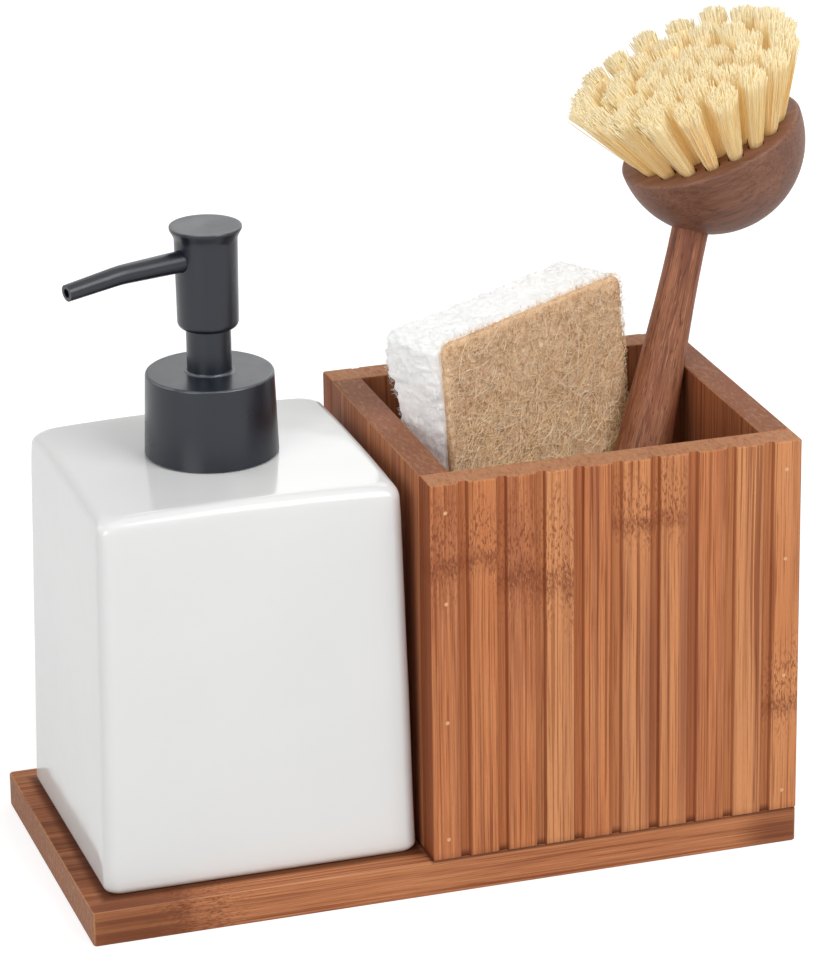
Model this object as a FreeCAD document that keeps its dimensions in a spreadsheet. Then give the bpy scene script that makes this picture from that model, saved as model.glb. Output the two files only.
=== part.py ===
import FreeCAD, Part
import Sketcher
import math
import os

# A sink set: a bamboo tray that carries a ceramic soap bottle with a press pump, and a ribbed
# bamboo caddy that holds a round dish brush and a two-sided sponge.
# Lengths are millimetres and angles degrees. The origin is the centre of the tray's underside,
# +X runs along the tray towards the caddy, -Y is the front and +Z is up.

SIZES = {
    # tray
    "tray_end_margin": 6.1,
    "tray_depth": 106.0,
    "tray_thickness": 11.0,
    "tray_corner_radius": 1.2,
    "tray_edge_radius": 0.7,
    # caddy box
    "box_right_room": 12.6,
    "box_height": 119.3,
    "panel_thickness": 10.0,
    "side_thickness": 9.5,
    "panel_edge_radius": 0.7,
    "groove_pitch": 11.9,
    "groove_width": 3.6,
    "groove_floor_width": 2.0,
    "groove_depth": 1.1,
    "brad_radius": 0.6,
    "brad_length": 21.0,
    # bottle
    "bottle_width": 96.2,
    "bottle_depth": 90.4,
    "bottle_height": 118.3,
    "bottle_draw": 2.5,
    "bottle_gap": 2.0,
    "bottle_corner_radius": 4.0,
    "bottle_shoulder_radius": 4.0,
    "bottle_foot_radius": 3.0,
    "bottle_crown_radius": 845.0,
    "bottle_wall": 5.0,
    "shoulder_wall": 7.0,
    "bottle_floor": 6.0,
    "neck_height": 10.0,
    "neck_radius": 14.0,
    "neck_bore_radius": 11.0,
    # threaded sleeve on the neck, closure and collar
    "fit_clearance": 0.05,
    "sleeve_gap": 0.3,
    "closure_gap": 0.9,
    "sleeve_wall": 1.5,
    "thread_height": 0.7,
    "thread_width": 1.0,
    "thread_crest_width": 0.5,
    "thread_clearance": 0.3,
    "thread_pitch": 3.0,
    "thread_root_sink": 0.1,
    "thread_start": 2.4,
    "closure_wall": 1.3,
    "closure_plate": 1.6,
    "closure_hole_radius": 9.0,
    "collar_wall": 1.1,
    "collar_height": 24.6,
    "collar_draw": 0.85,
    "collar_edge_radius": 0.8,
    "guide_radius": 6.6,
    "guide_wall": 1.0,
    "guide_flare": 0.9,
    "guide_engagement": 4.0,
    # pump core
    "gasket_thickness": 1.0,
    "flange_radius": 13.6,
    "flange_thickness": 1.6,
    "housing_radius": 8.5,
    "housing_wall": 1.5,
    "housing_length": 39.0,
    "chamber_floor": 5.0,
    "ball_radius": 2.4,
    "ball_seat_radius": 1.5,
    "ball_lift": 1.5,
    "ball_lip_radius": 2.2,
    "ball_lip_height": 0.8,
    "ball_clearance": 0.2,
    "spigot_length": 11.0,
    "spigot_wall": 1.4,
    "tube_radius": 3.0,
    "tube_wall": 0.9,
    "tube_floor_gap": 3.0,
    "ring_rim": 1.4,
    "ring_length": 3.0,
    "spring_wire_radius": 0.55,
    "spring_mean_radius": 4.4,
    # plunger and head
    "press_travel": 12.2,
    "press_stop_gap": 0.5,
    "stem_radius": 3.5,
    "stem_bore_radius": 1.8,
    "stem_foot_radius": 5.4,
    "stem_foot_thickness": 1.2,
    "piston_height": 7.0,
    "piston_lip": 0.9,
    "head_height": 31.0,
    "head_bottom_radius": 9.0,
    "head_top_radius": 9.3,
    "head_wall": 1.3,
    "head_mouth_height": 3.2,
    "head_mouth_round": 2.1,
    "head_flare_radius": 3.4,
    "head_lip_round": 0.3,
    "head_lip_radius": 10.65,
    "head_lip_height": 3.4,
    "head_lip_edge": 0.9,
    "head_roof": 3.0,
    "head_dish_depth": 0.35,
    "core_depth": 11.0,
    "stem_seat_depth": 5.0,
    # spout
    "spout_drop": 9.4,
    "spout_root_radius": 3.3,
    "spout_tip_radius": 2.5,
    "spout_bore_radius": 1.35,
    "spout_bend_reach": 29.5,
    "spout_reach": 47.6,
    "spout_bend_radius": 40.0,
    "spout_root_reach": 5.5,
    # brush
    "handle_pad_gap": 4.5,
    "handle_length": 172.3,
    "handle_tip_radius": 5.7,
    "handle_waist_radius": 7.0,
    "handle_belly_radius": 8.4,
    "handle_swell_radius": 9.3,
    "handle_end_radius": 7.8,
    "handle_tenon_radius": 5.2,
    "handle_tenon_length": 14.0,
    "handle_seat_depth": 1.5,
    "bowl_radius": 29.0,
    "bowl_band": 0.8,
    "bowl_edge_radius": 1.2,
    "tuft_pitch": 7.3,
    "tuft_root_radius": 1.75,
    "tuft_tip_radius": 3.9,
    "tuft_hole_radius": 2.5,
    "tuft_hole_depth": 6.0,
    "tuft_length": 27.0,
    "rest_clearance": 0.3,
    # sponge
    "sponge_width": 76.0,
    "sponge_length": 145.0,
    "sponge_thickness": 19.4,
    "sponge_edge_radius": 3.0,
    "pad_thickness": 3.0,
    "pad_edge_radius": 1.2,
    # overrun of every cut past the face it opens
    "overrun": 2.0,
}

# Angles, counts and shares
BRAD_ROW_SHARES = (0.055, 0.371, 0.687, 0.925)
GROOVE_COUNT = 9
SPRING_COILS = 8
SPOUT_AZIMUTH = 197.8
SPOUT_RISE_ANGLE = 0.3
SPOUT_DROOP_ANGLE = 5.8
HANDLE_LEAN = 22.4
HANDLE_AZIMUTH = 36.9
HEAD_ROLL = 160.2
HEAD_TILT = 41.3
TUFT_RINGS = 3
TUFTS_PER_RING_STEP = 6
TUFT_FAN_SHARE = 0.556
# where along its length the handle has its named radii
HANDLE_WAIST_SHARE = 0.759
HANDLE_BELLY_SHARE = 0.617
HANDLE_SWELL_SHARE = 0.41
PISTON_LIP_SHARE = 0.25
THREAD_TURNS = 1.75
THREAD_OFFSET_SHARE = 0.5
SPRING_ARCS_PER_TURN = 4
SPONGE_YAW = 27.2
SPONGE_LEAN = 1.7
SPONGE_TILT = 2.9

FULL_TURN = 360.0
QUARTER_TURN = 90.0
# two lengths closer than this are the same length
NEAR = 1e-4


class Size:
    """A length that carries its value and the sheet expression that gives it."""

    def __init__(self, value, text):
        self.value = value
        self.text = text

    def __add__(self, other):
        other = as_size(other)
        return Size(self.value + other.value, "(%s + %s)" % (self.text, other.text))

    def __sub__(self, other):
        other = as_size(other)
        return Size(self.value - other.value, "(%s - %s)" % (self.text, other.text))

    def __mul__(self, share):
        return Size(self.value * share, "(%s * %r)" % (self.text, share))

    def __truediv__(self, share):
        return Size(self.value / share, "(%s / %r)" % (self.text, share))

    def __neg__(self):
        return Size(-self.value, "(0 - %s)" % self.text)


def as_size(length):
    if isinstance(length, Size):
        return length
    return Size(float(length), repr(float(length)))


def side_of_triangle(long_side, short_side):
    """The third side of a right-angled triangle."""
    number = math.sqrt(long_side.value**2 - short_side.value**2)
    text = "sqrt(%s * %s - %s * %s)" % (
        long_side.text,
        long_side.text,
        short_side.text,
        short_side.text,
    )
    return Size(number, text)


doc = FreeCAD.newDocument("SinkSet")
sheet = doc.addObject("Spreadsheet::Sheet", "Sizes")


class Sizes:
    """Every driving dimension by name."""


d = Sizes()
for row, (alias, number) in enumerate(SIZES.items(), start=1):
    sheet.set("A%d" % row, alias)
    sheet.set("B%d" % row, str(number))
    sheet.setAlias("B%d" % row, alias)
    setattr(d, alias, Size(number, "Sizes.%s" % alias))
doc.recompute()

NOTHING = as_size(0)
X_AXIS = FreeCAD.Vector(1, 0, 0)
Y_AXIS = FreeCAD.Vector(0, 1, 0)
Z_AXIS = FreeCAD.Vector(0, 0, 1)
ORIGIN = FreeCAD.Vector(0, 0, 0)


def bind(obj, prop, length):
    """Binds one property to the sheet."""
    length = as_size(length)
    obj.setExpression(prop, length.text)


def place(obj, x=NOTHING, y=NOTHING, z=NOTHING):
    """Binds the three coordinates of a placement to the sheet."""
    bind(obj, "Placement.Base.x", x)
    bind(obj, "Placement.Base.y", y)
    bind(obj, "Placement.Base.z", z)


def new_body(label):
    body = doc.addObject("PartDesign::Body", label)
    body.Label = label
    return body


def origin_plane(body, role):
    for feature in body.Origin.OriginFeatures:
        if feature.Role == role:
            return feature
    raise ValueError("no plane " + role)


def new_sketch(body, name, role="XY_Plane", offset=None):
    sketch = body.newObject("Sketcher::SketchObject", name)
    sketch.AttachmentSupport = [(origin_plane(body, role), "")]
    sketch.MapMode = "FlatFace"
    if offset is not None:
        bind(sketch, "AttachmentOffset.Base.z", offset)
    return sketch


def pin_point(sketch, edge, end, x, y):
    """Holds one end of an edge at two bound distances from the sketch's origin."""
    across = sketch.addConstraint(Sketcher.Constraint("DistanceX", -1, 1, edge, end, as_size(x).value))
    sketch.setExpression("Constraints[%d]" % across, as_size(x).text)
    along = sketch.addConstraint(Sketcher.Constraint("DistanceY", -1, 1, edge, end, as_size(y).value))
    sketch.setExpression("Constraints[%d]" % along, as_size(y).text)


def draw_outline(sketch, points):
    """A closed outline of straight edges whose corners are all bound to the sheet."""
    corners = [FreeCAD.Vector(as_size(x).value, as_size(y).value, 0) for x, y in points]
    first = sketch.GeometryCount
    count = len(points)
    for i in range(count):
        sketch.addGeometry(Part.LineSegment(corners[i], corners[(i + 1) % count]), False)
    for i in range(count):
        sketch.addConstraint(
            Sketcher.Constraint("Coincident", first + i, 2, first + (i + 1) % count, 1)
        )
    for i, (x, y) in enumerate(points):
        pin_point(sketch, first + i, 1, x, y)


def rectangle(x0, x1, y0, y1):
    return [(x0, y0), (x1, y0), (x1, y1), (x0, y1)]


def pad(body, sketch, length, name="Pad"):
    feature = body.newObject("PartDesign::Pad", name)
    feature.Profile = sketch
    bind(feature, "Length", length)
    body.Tip = feature
    doc.recompute()
    return feature


def edges_where(feature, test):
    return ["Edge%d" % (i + 1) for i, edge in enumerate(feature.Shape.Edges) if test(edge)]


def fillet(body, base, names, radius, label="Fillet"):
    feature = body.newObject("PartDesign::Fillet", label)
    feature.Base = (base, names)
    bind(feature, "Radius", radius)
    body.Tip = feature
    doc.recompute()
    return feature


def is_upright(edge):
    box = edge.BoundBox
    return box.ZLength > box.XLength and box.ZLength > box.YLength


def is_circle_at(edge, radius, height):
    """True for a round edge of one radius at one height."""
    if edge.Degenerated or not hasattr(edge.Curve, "Radius"):
        return False
    box = edge.BoundBox
    return (
        abs(edge.Curve.Radius - as_size(radius).value) < NEAR
        and abs(box.ZMin - as_size(height).value) < NEAR
        and box.ZLength < NEAR
    )


def check_removed(before, after):
    """Stops the build where a cut points away from its solid and takes nothing off."""
    if after.Shape.Volume > before.Shape.Volume - NEAR:
        raise ValueError("%s cuts nothing" % after.Label)


def revolved(label, points):
    """A body turned about the pump's axis from a closed outline of (radius, height) corners."""
    body = new_body(label)
    sketch = new_sketch(body, label + "_profile", "XZ_Plane")
    draw_outline(sketch, points)
    turn = body.newObject("PartDesign::Revolution", label + "_turn")
    turn.Profile = sketch
    turn.ReferenceAxis = (sketch, ["V_Axis"])
    turn.Angle = FULL_TURN
    body.Tip = turn
    doc.recompute()
    return body, turn


SPONGE_TURN = (
    FreeCAD.Rotation(Z_AXIS, SPONGE_YAW)
    .multiply(FreeCAD.Rotation(X_AXIS, -SPONGE_LEAN))
    .multiply(FreeCAD.Rotation(Y_AXIS, -SPONGE_TILT))
)
# shares of the sponge's sizes that lie along the box and across it, of its height that it moves
# towards the left and the rear panel, and of its edge rounding that lets it nearer to them
SPONGE_ALONG_SHARE = math.cos(math.radians(SPONGE_YAW))
SPONGE_ACROSS_SHARE = math.sin(math.radians(SPONGE_YAW))
SPONGE_UP = SPONGE_TURN.multVec(Z_AXIS)
SPONGE_LEFT_SHARE = -SPONGE_UP.x / SPONGE_UP.z
SPONGE_REAR_SHARE = SPONGE_UP.y / SPONGE_UP.z
SPONGE_ROUND_SHARE = SPONGE_ALONG_SHARE + SPONGE_ACROSS_SHARE - 1

# Places that several pieces share
tray_top = d.tray_thickness
sponge_depth = d.sponge_thickness + d.pad_thickness
sponge_relief = d.sponge_edge_radius * SPONGE_ROUND_SHARE
# from the left panel's inner face to the pad's front left edge, and from the rear panel's
sponge_inset = (
    sponge_depth * SPONGE_ACROSS_SHARE
    + d.box_height * SPONGE_LEFT_SHARE
    - sponge_relief
    + d.rest_clearance
)
sponge_setback = (
    d.sponge_width * SPONGE_ACROSS_SHARE
    + sponge_depth * SPONGE_ALONG_SHARE
    + d.box_height * SPONGE_REAR_SHARE
    - sponge_relief
    + d.rest_clearance
)
box_inner_length = sponge_inset + d.sponge_width * SPONGE_ALONG_SHARE + d.box_right_room
box_length = box_inner_length + d.side_thickness * 2
tray_length = d.tray_end_margin + d.bottle_width + d.bottle_gap + box_length
box_left = tray_length / 2 - box_length
box_top = tray_top + d.box_height
front = -d.tray_depth / 2
bottle_x = box_left - d.bottle_gap - d.bottle_width / 2
bottle_top = tray_top + d.bottle_height
neck_top = bottle_top + d.neck_height
flange_base = neck_top + d.gasket_thickness
flange_top = flange_base + d.flange_thickness
sleeve_radius = d.neck_radius + d.fit_clearance + d.sleeve_wall
closure_bore = sleeve_radius + d.thread_height + d.thread_clearance
closure_radius = closure_bore + d.closure_wall
closure_base = bottle_top + d.closure_gap
closure_top = flange_top + d.fit_clearance + d.closure_plate
collar_base = bottle_top + d.sleeve_gap
collar_top = collar_base + d.collar_height
collar_bore = closure_radius + d.fit_clearance
head_base = collar_top + d.guide_flare + d.press_stop_gap + d.press_travel
head_top = head_base + d.head_height
guide_top = head_base + d.guide_engagement
housing_base = flange_base - d.housing_length
chamber_radius = d.housing_radius - d.housing_wall
chamber_base = housing_base + d.chamber_floor
ball_rest = side_of_triangle(d.ball_radius, d.ball_seat_radius) + d.fit_clearance
ball_stop = ball_rest + d.ball_lift + side_of_triangle(d.ball_radius, d.ball_lip_radius)
ball_seat = chamber_base - d.ball_lip_height - d.fit_clearance - ball_stop
spigot_base = housing_base - d.spigot_length
spigot_bore = d.tube_radius + d.fit_clearance
ring_base = flange_top - d.ring_length
piston_top = ring_base - d.fit_clearance
piston_base = piston_top - d.piston_height
stem_foot_top = piston_base - d.fit_clearance
stem_base = stem_foot_top - d.stem_foot_thickness
core_top = head_top - d.head_roof
core_base = core_top - d.core_depth
spout_height = head_top - d.spout_drop
stem_top = core_base + d.stem_seat_depth


def make_tray():
    body = new_body("tray")
    sketch = new_sketch(body, "tray_outline")
    half_length = tray_length / 2
    half_depth = d.tray_depth / 2
    draw_outline(sketch, rectangle(-half_length, half_length, -half_depth, half_depth))
    slab = pad(body, sketch, d.tray_thickness)
    corners = fillet(body, slab, edges_where(slab, is_upright), d.tray_corner_radius)
    rims = edges_where(corners, lambda edge: edge.BoundBox.ZLength < NEAR)
    fillet(body, corners, rims, d.tray_edge_radius, "Edges")
    return body


def make_brads():
    """Brads through the ribbed panels into the ends of the side panels, one column at each end."""
    brads = []
    left_x = box_left + d.side_thickness / 2
    right_x = tray_length / 2 - d.side_thickness / 2
    for face_name, y, turn in (
        ("front", front, -QUARTER_TURN),
        ("rear", -front, QUARTER_TURN),
    ):
        for side_name, x in (("left", left_x), ("right", right_x)):
            for number, share in enumerate(BRAD_ROW_SHARES, start=1):
                brad = doc.addObject("Part::Cylinder", "brad_%s_%s_%d" % (face_name, side_name, number))
                bind(brad, "Radius", d.brad_radius)
                bind(brad, "Height", d.brad_length)
                brad.Placement = FreeCAD.Placement(ORIGIN, FreeCAD.Rotation(X_AXIS, turn))
                place(brad, x, y, tray_top + d.box_height * share)
                brads.append(brad)
    group = doc.addObject("Part::Compound", "panel_brads")
    group.Label = "panel_brads"
    group.Links = brads
    doc.recompute()
    return group


def with_brad_holes(body, brads, label):
    """Drills the holes that the brads fill."""
    cut = doc.addObject("Part::Cut", label)
    cut.Label = label
    body.Label = label + "_blank"
    cut.Base = body
    cut.Tool = brads
    doc.recompute()
    return cut


def make_ribbed_panel(label, outward, brads):
    """A panel as long as the box, with upright channels in its outer face."""
    body = new_body(label + "_board")
    outer = front if outward < 0 else -front
    inner = outer - d.panel_thickness * outward
    sketch = new_sketch(body, label + "_outline")
    right = tray_length / 2
    near, far = (outer, inner) if outward < 0 else (inner, outer)
    draw_outline(sketch, rectangle(box_left, right, near, far))
    board = pad(body, sketch, d.box_height)
    board = fillet(body, board, edges_where(board, lambda edge: True), d.panel_edge_radius)
    first_x = box_left + box_length / 2 - d.groove_pitch * ((GROOVE_COUNT - 1) / 2)
    mouth = outer + d.groove_depth * outward
    floor = outer - d.groove_depth * outward
    # the channel's sides keep their slope past the face, so the mouth at the face has its own width
    spread = d.groove_width - d.groove_floor_width / 2
    channel = new_sketch(body, label + "_channel")
    draw_outline(
        channel,
        [
            (first_x - spread, mouth),
            (first_x + spread, mouth),
            (first_x + d.groove_floor_width / 2, floor),
            (first_x - d.groove_floor_width / 2, floor),
        ],
    )
    groove = body.newObject("PartDesign::Pocket", label + "_groove")
    groove.Profile = channel
    groove.Reversed = True
    bind(groove, "Length", d.box_height + d.overrun)
    body.Tip = groove
    doc.recompute()
    check_removed(board, groove)
    row = body.newObject("PartDesign::LinearPattern", label + "_grooves")
    row.Originals = [groove]
    row.Direction = (channel, ["H_Axis"])
    bind(row, "Length", d.groove_pitch * (GROOVE_COUNT - 1))
    row.Occurrences = GROOVE_COUNT
    body.Tip = row
    doc.recompute()
    check_removed(groove, row)
    place(body, z=tray_top)
    return with_brad_holes(body, brads, label)


def make_side_panel(label, outer, inner, brads):
    body = new_body(label + "_board")
    sketch = new_sketch(body, label + "_outline")
    near = front + d.panel_thickness
    far = -near
    draw_outline(sketch, rectangle(outer, inner, near, far))
    board = pad(body, sketch, d.box_height)
    top_edges = edges_where(
        board, lambda edge: edge.BoundBox.YLength > edge.BoundBox.XLength + edge.BoundBox.ZLength
    )
    fillet(body, board, top_edges, d.panel_edge_radius)
    place(body, z=tray_top)
    return with_brad_holes(body, brads, label)


def make_bottle():
    body = new_body("bottle")
    half_width = d.bottle_width / 2
    half_depth = d.bottle_depth / 2
    rise = d.bottle_height + d.overrun
    foot = new_sketch(body, "bottle_foot_outline")
    draw_outline(foot, rectangle(-half_width, half_width, -half_depth, half_depth))
    block = pad(body, foot, rise)
    sides = [
        "Face%d" % (i + 1)
        for i, face in enumerate(block.Shape.Faces)
        if face.BoundBox.ZLength > d.bottle_wall.value
    ]
    floor_face = [
        "Face%d" % (i + 1)
        for i, face in enumerate(block.Shape.Faces)
        if face.BoundBox.ZMax < NEAR
    ]
    draft = body.newObject("PartDesign::Draft", "bottle_draft")
    draft.Base = (block, sides)
    draft.NeutralPlane = (block, floor_face)
    draft.setExpression("Angle", "atan(%s / %s)" % (d.bottle_draw.text, d.bottle_height.text))
    body.Tip = draft
    doc.recompute()
    corners = fillet(body, draft, edges_where(draft, is_upright), d.bottle_corner_radius, "Corners")
    crown = new_sketch(body, "bottle_crown_profile", "XZ_Plane")
    reach = half_width + half_depth
    centre_z = d.bottle_height - d.bottle_crown_radius
    angle = math.asin(reach.value / d.bottle_crown_radius.value)
    fall = centre_z.value + d.bottle_crown_radius.value * math.cos(angle)
    above = d.bottle_height + d.overrun * 2
    crest = FreeCAD.Vector(0, d.bottle_height.value, 0)
    edge_point = FreeCAD.Vector(reach.value, fall, 0)
    circle = Part.Circle(FreeCAD.Vector(0, centre_z.value, 0), Z_AXIS, d.bottle_crown_radius.value)
    crown.addGeometry(Part.ArcOfCircle(circle, math.pi / 2 - angle, math.pi / 2), False)
    high_edge = FreeCAD.Vector(reach.value, above.value, 0)
    high_axis = FreeCAD.Vector(0, above.value, 0)
    crown.addGeometry(Part.LineSegment(edge_point, high_edge), False)
    crown.addGeometry(Part.LineSegment(high_edge, high_axis), False)
    crown.addGeometry(Part.LineSegment(high_axis, crest), False)
    crown.addConstraint(Sketcher.Constraint("Coincident", 0, 1, 1, 1))
    crown.addConstraint(Sketcher.Constraint("Coincident", 1, 2, 2, 1))
    crown.addConstraint(Sketcher.Constraint("Coincident", 2, 2, 3, 1))
    crown.addConstraint(Sketcher.Constraint("Coincident", 3, 2, 0, 2))
    pin_point(crown, 0, 3, NOTHING, centre_z)
    pin_point(crown, 1, 2, reach, above)
    pin_point(crown, 2, 2, NOTHING, above)
    crown.addConstraint(Sketcher.Constraint("Vertical", 1))
    crown.addConstraint(Sketcher.Constraint("Vertical", 3))
    radius_row = crown.addConstraint(Sketcher.Constraint("Radius", 0, d.bottle_crown_radius.value))
    crown.setExpression("Constraints[%d]" % radius_row, d.bottle_crown_radius.text)
    trim = body.newObject("PartDesign::Groove", "bottle_crown")
    trim.Profile = crown
    trim.ReferenceAxis = (crown, ["V_Axis"])
    trim.Angle = FULL_TURN
    body.Tip = trim
    doc.recompute()
    check_removed(corners, trim)
    middle = d.bottle_height.value / 2
    upper = edges_where(trim, lambda edge: edge.BoundBox.ZMin > middle)
    shoulder = fillet(body, trim, upper, d.bottle_shoulder_radius, "Shoulder")
    lower = edges_where(shoulder, lambda edge: edge.BoundBox.ZMax < NEAR)
    fillet(body, shoulder, lower, d.bottle_foot_radius, "Foot")
    neck = new_sketch(body, "bottle_neck_profile", "XZ_Plane")
    neck_low = d.bottle_height - d.bottle_wall
    draw_outline(neck, rectangle(NOTHING, d.neck_radius, neck_low, d.bottle_height + d.neck_height))
    neck_turn = body.newObject("PartDesign::Revolution", "bottle_neck")
    neck_turn.Profile = neck
    neck_turn.ReferenceAxis = (neck, ["V_Axis"])
    neck_turn.Angle = FULL_TURN
    body.Tip = neck_turn
    doc.recompute()
    inset = d.bottle_wall
    floor_outline = new_sketch(body, "bottle_floor_outline", offset=d.bottle_floor)
    inner_width = half_width - inset
    inner_depth = half_depth - inset
    draw_outline(floor_outline, rectangle(-inner_width, inner_width, -inner_depth, inner_depth))
    ceiling_outline = new_sketch(
        body, "bottle_ceiling_outline", offset=d.bottle_height - d.shoulder_wall
    )
    top_width = inner_width - d.bottle_draw
    top_depth = inner_depth - d.bottle_draw
    draw_outline(ceiling_outline, rectangle(-top_width, top_width, -top_depth, top_depth))
    cavity = body.newObject("PartDesign::SubtractiveLoft", "bottle_cavity")
    cavity.Profile = floor_outline
    cavity.Sections = [ceiling_outline]
    cavity.Ruled = True
    body.Tip = cavity
    doc.recompute()
    mouth = new_sketch(body, "bottle_mouth_profile", "XZ_Plane")
    mouth_low = d.bottle_height - d.shoulder_wall - d.overrun
    mouth_high = d.bottle_height + d.neck_height + d.overrun
    draw_outline(mouth, rectangle(NOTHING, d.neck_bore_radius, mouth_low, mouth_high))
    bore = body.newObject("PartDesign::Groove", "bottle_mouth")
    bore.Profile = mouth
    bore.ReferenceAxis = (mouth, ["V_Axis"])
    bore.Angle = FULL_TURN
    body.Tip = bore
    doc.recompute()
    check_removed(neck_turn, cavity)
    check_removed(cavity, bore)
    place(body, bottle_x, NOTHING, tray_top)
    return body


def make_helix(radius, pitch, turns, start):
    """A helical wire of arcs, each through three points of the helix."""

    def point(step):
        angle = 2 * math.pi * step / SPRING_ARCS_PER_TURN
        height = start + pitch * step / SPRING_ARCS_PER_TURN
        return FreeCAD.Vector(radius * math.cos(angle), radius * math.sin(angle), height)

    edges = []
    for step in range(turns * SPRING_ARCS_PER_TURN):
        arc = Part.Arc(point(step), point(step + 1 / 2), point(step + 1))
        edges.append(arc.toShape())
    return Part.Wire(edges)


def sweep_round(spine, radius):
    """A round bar along a wire."""
    first = spine.Edges[0]
    start = first.valueAt(first.FirstParameter)
    along = first.tangentAt(first.FirstParameter)
    profile = Part.Wire([Part.makeCircle(radius, start, along)])
    return spine.makePipeShell([profile], True, False)


def make_solid_feature(label, shape, x=NOTHING, y=NOTHING, z=NOTHING):
    feature = doc.addObject("Part::Feature", label)
    feature.Label = label
    feature.Shape = shape
    place(feature, x, y, z)
    doc.recompute()
    return feature


def add_thread(body, label, root, crest, start):
    """Fuses one helical ridge to a turned piece. It is sunk a little into the wall that carries it."""
    outward = 1 if crest.value > root.value else -1
    foot = root.value - outward * d.thread_root_sink.value
    tip = crest.value
    wide = d.thread_width.value / 2
    narrow = d.thread_crest_width.value / 2
    pitch = d.thread_pitch.value
    helix = Part.makeHelix(pitch, pitch * THREAD_TURNS, foot)
    helix.translate(FreeCAD.Vector(0, 0, start.value))
    corners = [
        FreeCAD.Vector(foot, 0, start.value - wide),
        FreeCAD.Vector(tip, 0, start.value - narrow),
        FreeCAD.Vector(tip, 0, start.value + narrow),
        FreeCAD.Vector(foot, 0, start.value + wide),
    ]
    profile = Part.makePolygon(corners + corners[:1])
    ridge = make_solid_feature(
        label + "_thread", Part.Wire(helix).makePipeShell([profile], True, True), bottle_x
    )
    fuse = doc.addObject("Part::Fuse", label)
    fuse.Label = label
    fuse.Base = body
    fuse.Tool = ridge
    doc.recompute()
    return fuse


def make_neck_sleeve():
    """Glued round the neck; it carries the outer thread."""
    inner = d.neck_radius + d.fit_clearance
    low = bottle_top + d.sleeve_gap
    body, turn = revolved("neck_sleeve_blank", rectangle(inner, sleeve_radius, low, neck_top))
    place(body, bottle_x)
    crest = sleeve_radius + d.thread_height
    return add_thread(body, "neck_sleeve", sleeve_radius, crest, low + d.thread_start)


def make_closure():
    """The cap that screws down on the sleeve and clamps the pump's flange."""
    hole = d.closure_hole_radius
    under = flange_top + d.fit_clearance
    body, turn = revolved(
        "threaded_closure_blank",
        [
            (closure_bore, closure_base),
            (closure_radius, closure_base),
            (closure_radius, closure_top),
            (hole, closure_top),
            (hole, under),
            (closure_bore, under),
        ],
    )
    place(body, bottle_x)
    crest = closure_bore - d.thread_height
    start = bottle_top + d.sleeve_gap + d.thread_start + d.thread_pitch * THREAD_OFFSET_SHARE
    return add_thread(body, "threaded_closure", closure_bore, crest, start)


def make_collar():
    """The cover over the closure and the tube on it that guides the head."""
    under = collar_top - d.collar_wall
    bore = d.guide_radius - d.guide_wall
    outer = collar_bore + d.collar_wall + d.collar_draw
    body, turn = revolved(
        "collar_cover",
        [
            (collar_bore, collar_base),
            (outer, collar_base),
            (outer - d.collar_draw, collar_top),
            (d.guide_radius, collar_top),
            (d.guide_radius, guide_top),
            (bore, guide_top),
            (bore, under),
            (collar_bore, under),
        ],
    )
    edge = fillet(
        body,
        turn,
        edges_where(turn, lambda e: is_circle_at(e, outer - d.collar_draw, collar_top)),
        d.collar_edge_radius,
        "Rim",
    )
    fillet(
        body,
        edge,
        edges_where(edge, lambda e: is_circle_at(e, d.guide_radius, collar_top)),
        d.guide_flare,
        "Flare",
    )
    place(body, bottle_x)
    return body


def make_gasket():
    inner = d.housing_radius + d.fit_clearance
    body, turn = revolved("neck_gasket", rectangle(inner, d.flange_radius, neck_top, flange_base))
    place(body, bottle_x)
    return body


def make_housing():
    """The pump's cylinder: a flange on the neck, a chamber, a pocket for the ball, a tube socket."""
    outer = d.housing_radius
    spigot_outer = spigot_bore + d.spigot_wall
    pocket = d.ball_radius + d.ball_clearance
    seat_floor = ball_seat - d.spigot_wall
    body, turn = revolved(
        "pump_housing",
        [
            (d.ball_seat_radius, ball_seat),
            (pocket, ball_seat),
            (pocket, chamber_base - d.ball_lip_height),
            (d.ball_lip_radius, chamber_base - d.ball_lip_height),
            (d.ball_lip_radius, chamber_base),
            (chamber_radius, chamber_base),
            (chamber_radius, flange_top),
            (d.flange_radius, flange_top),
            (d.flange_radius, flange_base),
            (outer, flange_base),
            (outer, housing_base),
            (spigot_outer, housing_base - d.overrun),
            (spigot_outer, spigot_base),
            (spigot_bore, spigot_base),
            (spigot_bore, seat_floor),
            (d.ball_seat_radius, seat_floor),
        ],
    )
    place(body, bottle_x)
    return body


def make_retaining_ring():
    """Snapped into the chamber's mouth: it holds the piston in and guides the stem."""
    bore = d.stem_radius + d.fit_clearance
    snug = chamber_radius - d.fit_clearance
    rim = d.housing_radius - d.fit_clearance * 2
    rim_top = flange_top + d.ring_rim
    body, turn = revolved(
        "retaining_ring",
        [
            (bore, ring_base),
            (snug, ring_base),
            (snug, flange_top),
            (rim, flange_top),
            (rim, rim_top),
            (bore, rim_top),
        ],
    )
    place(body, bottle_x)
    return body


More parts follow.
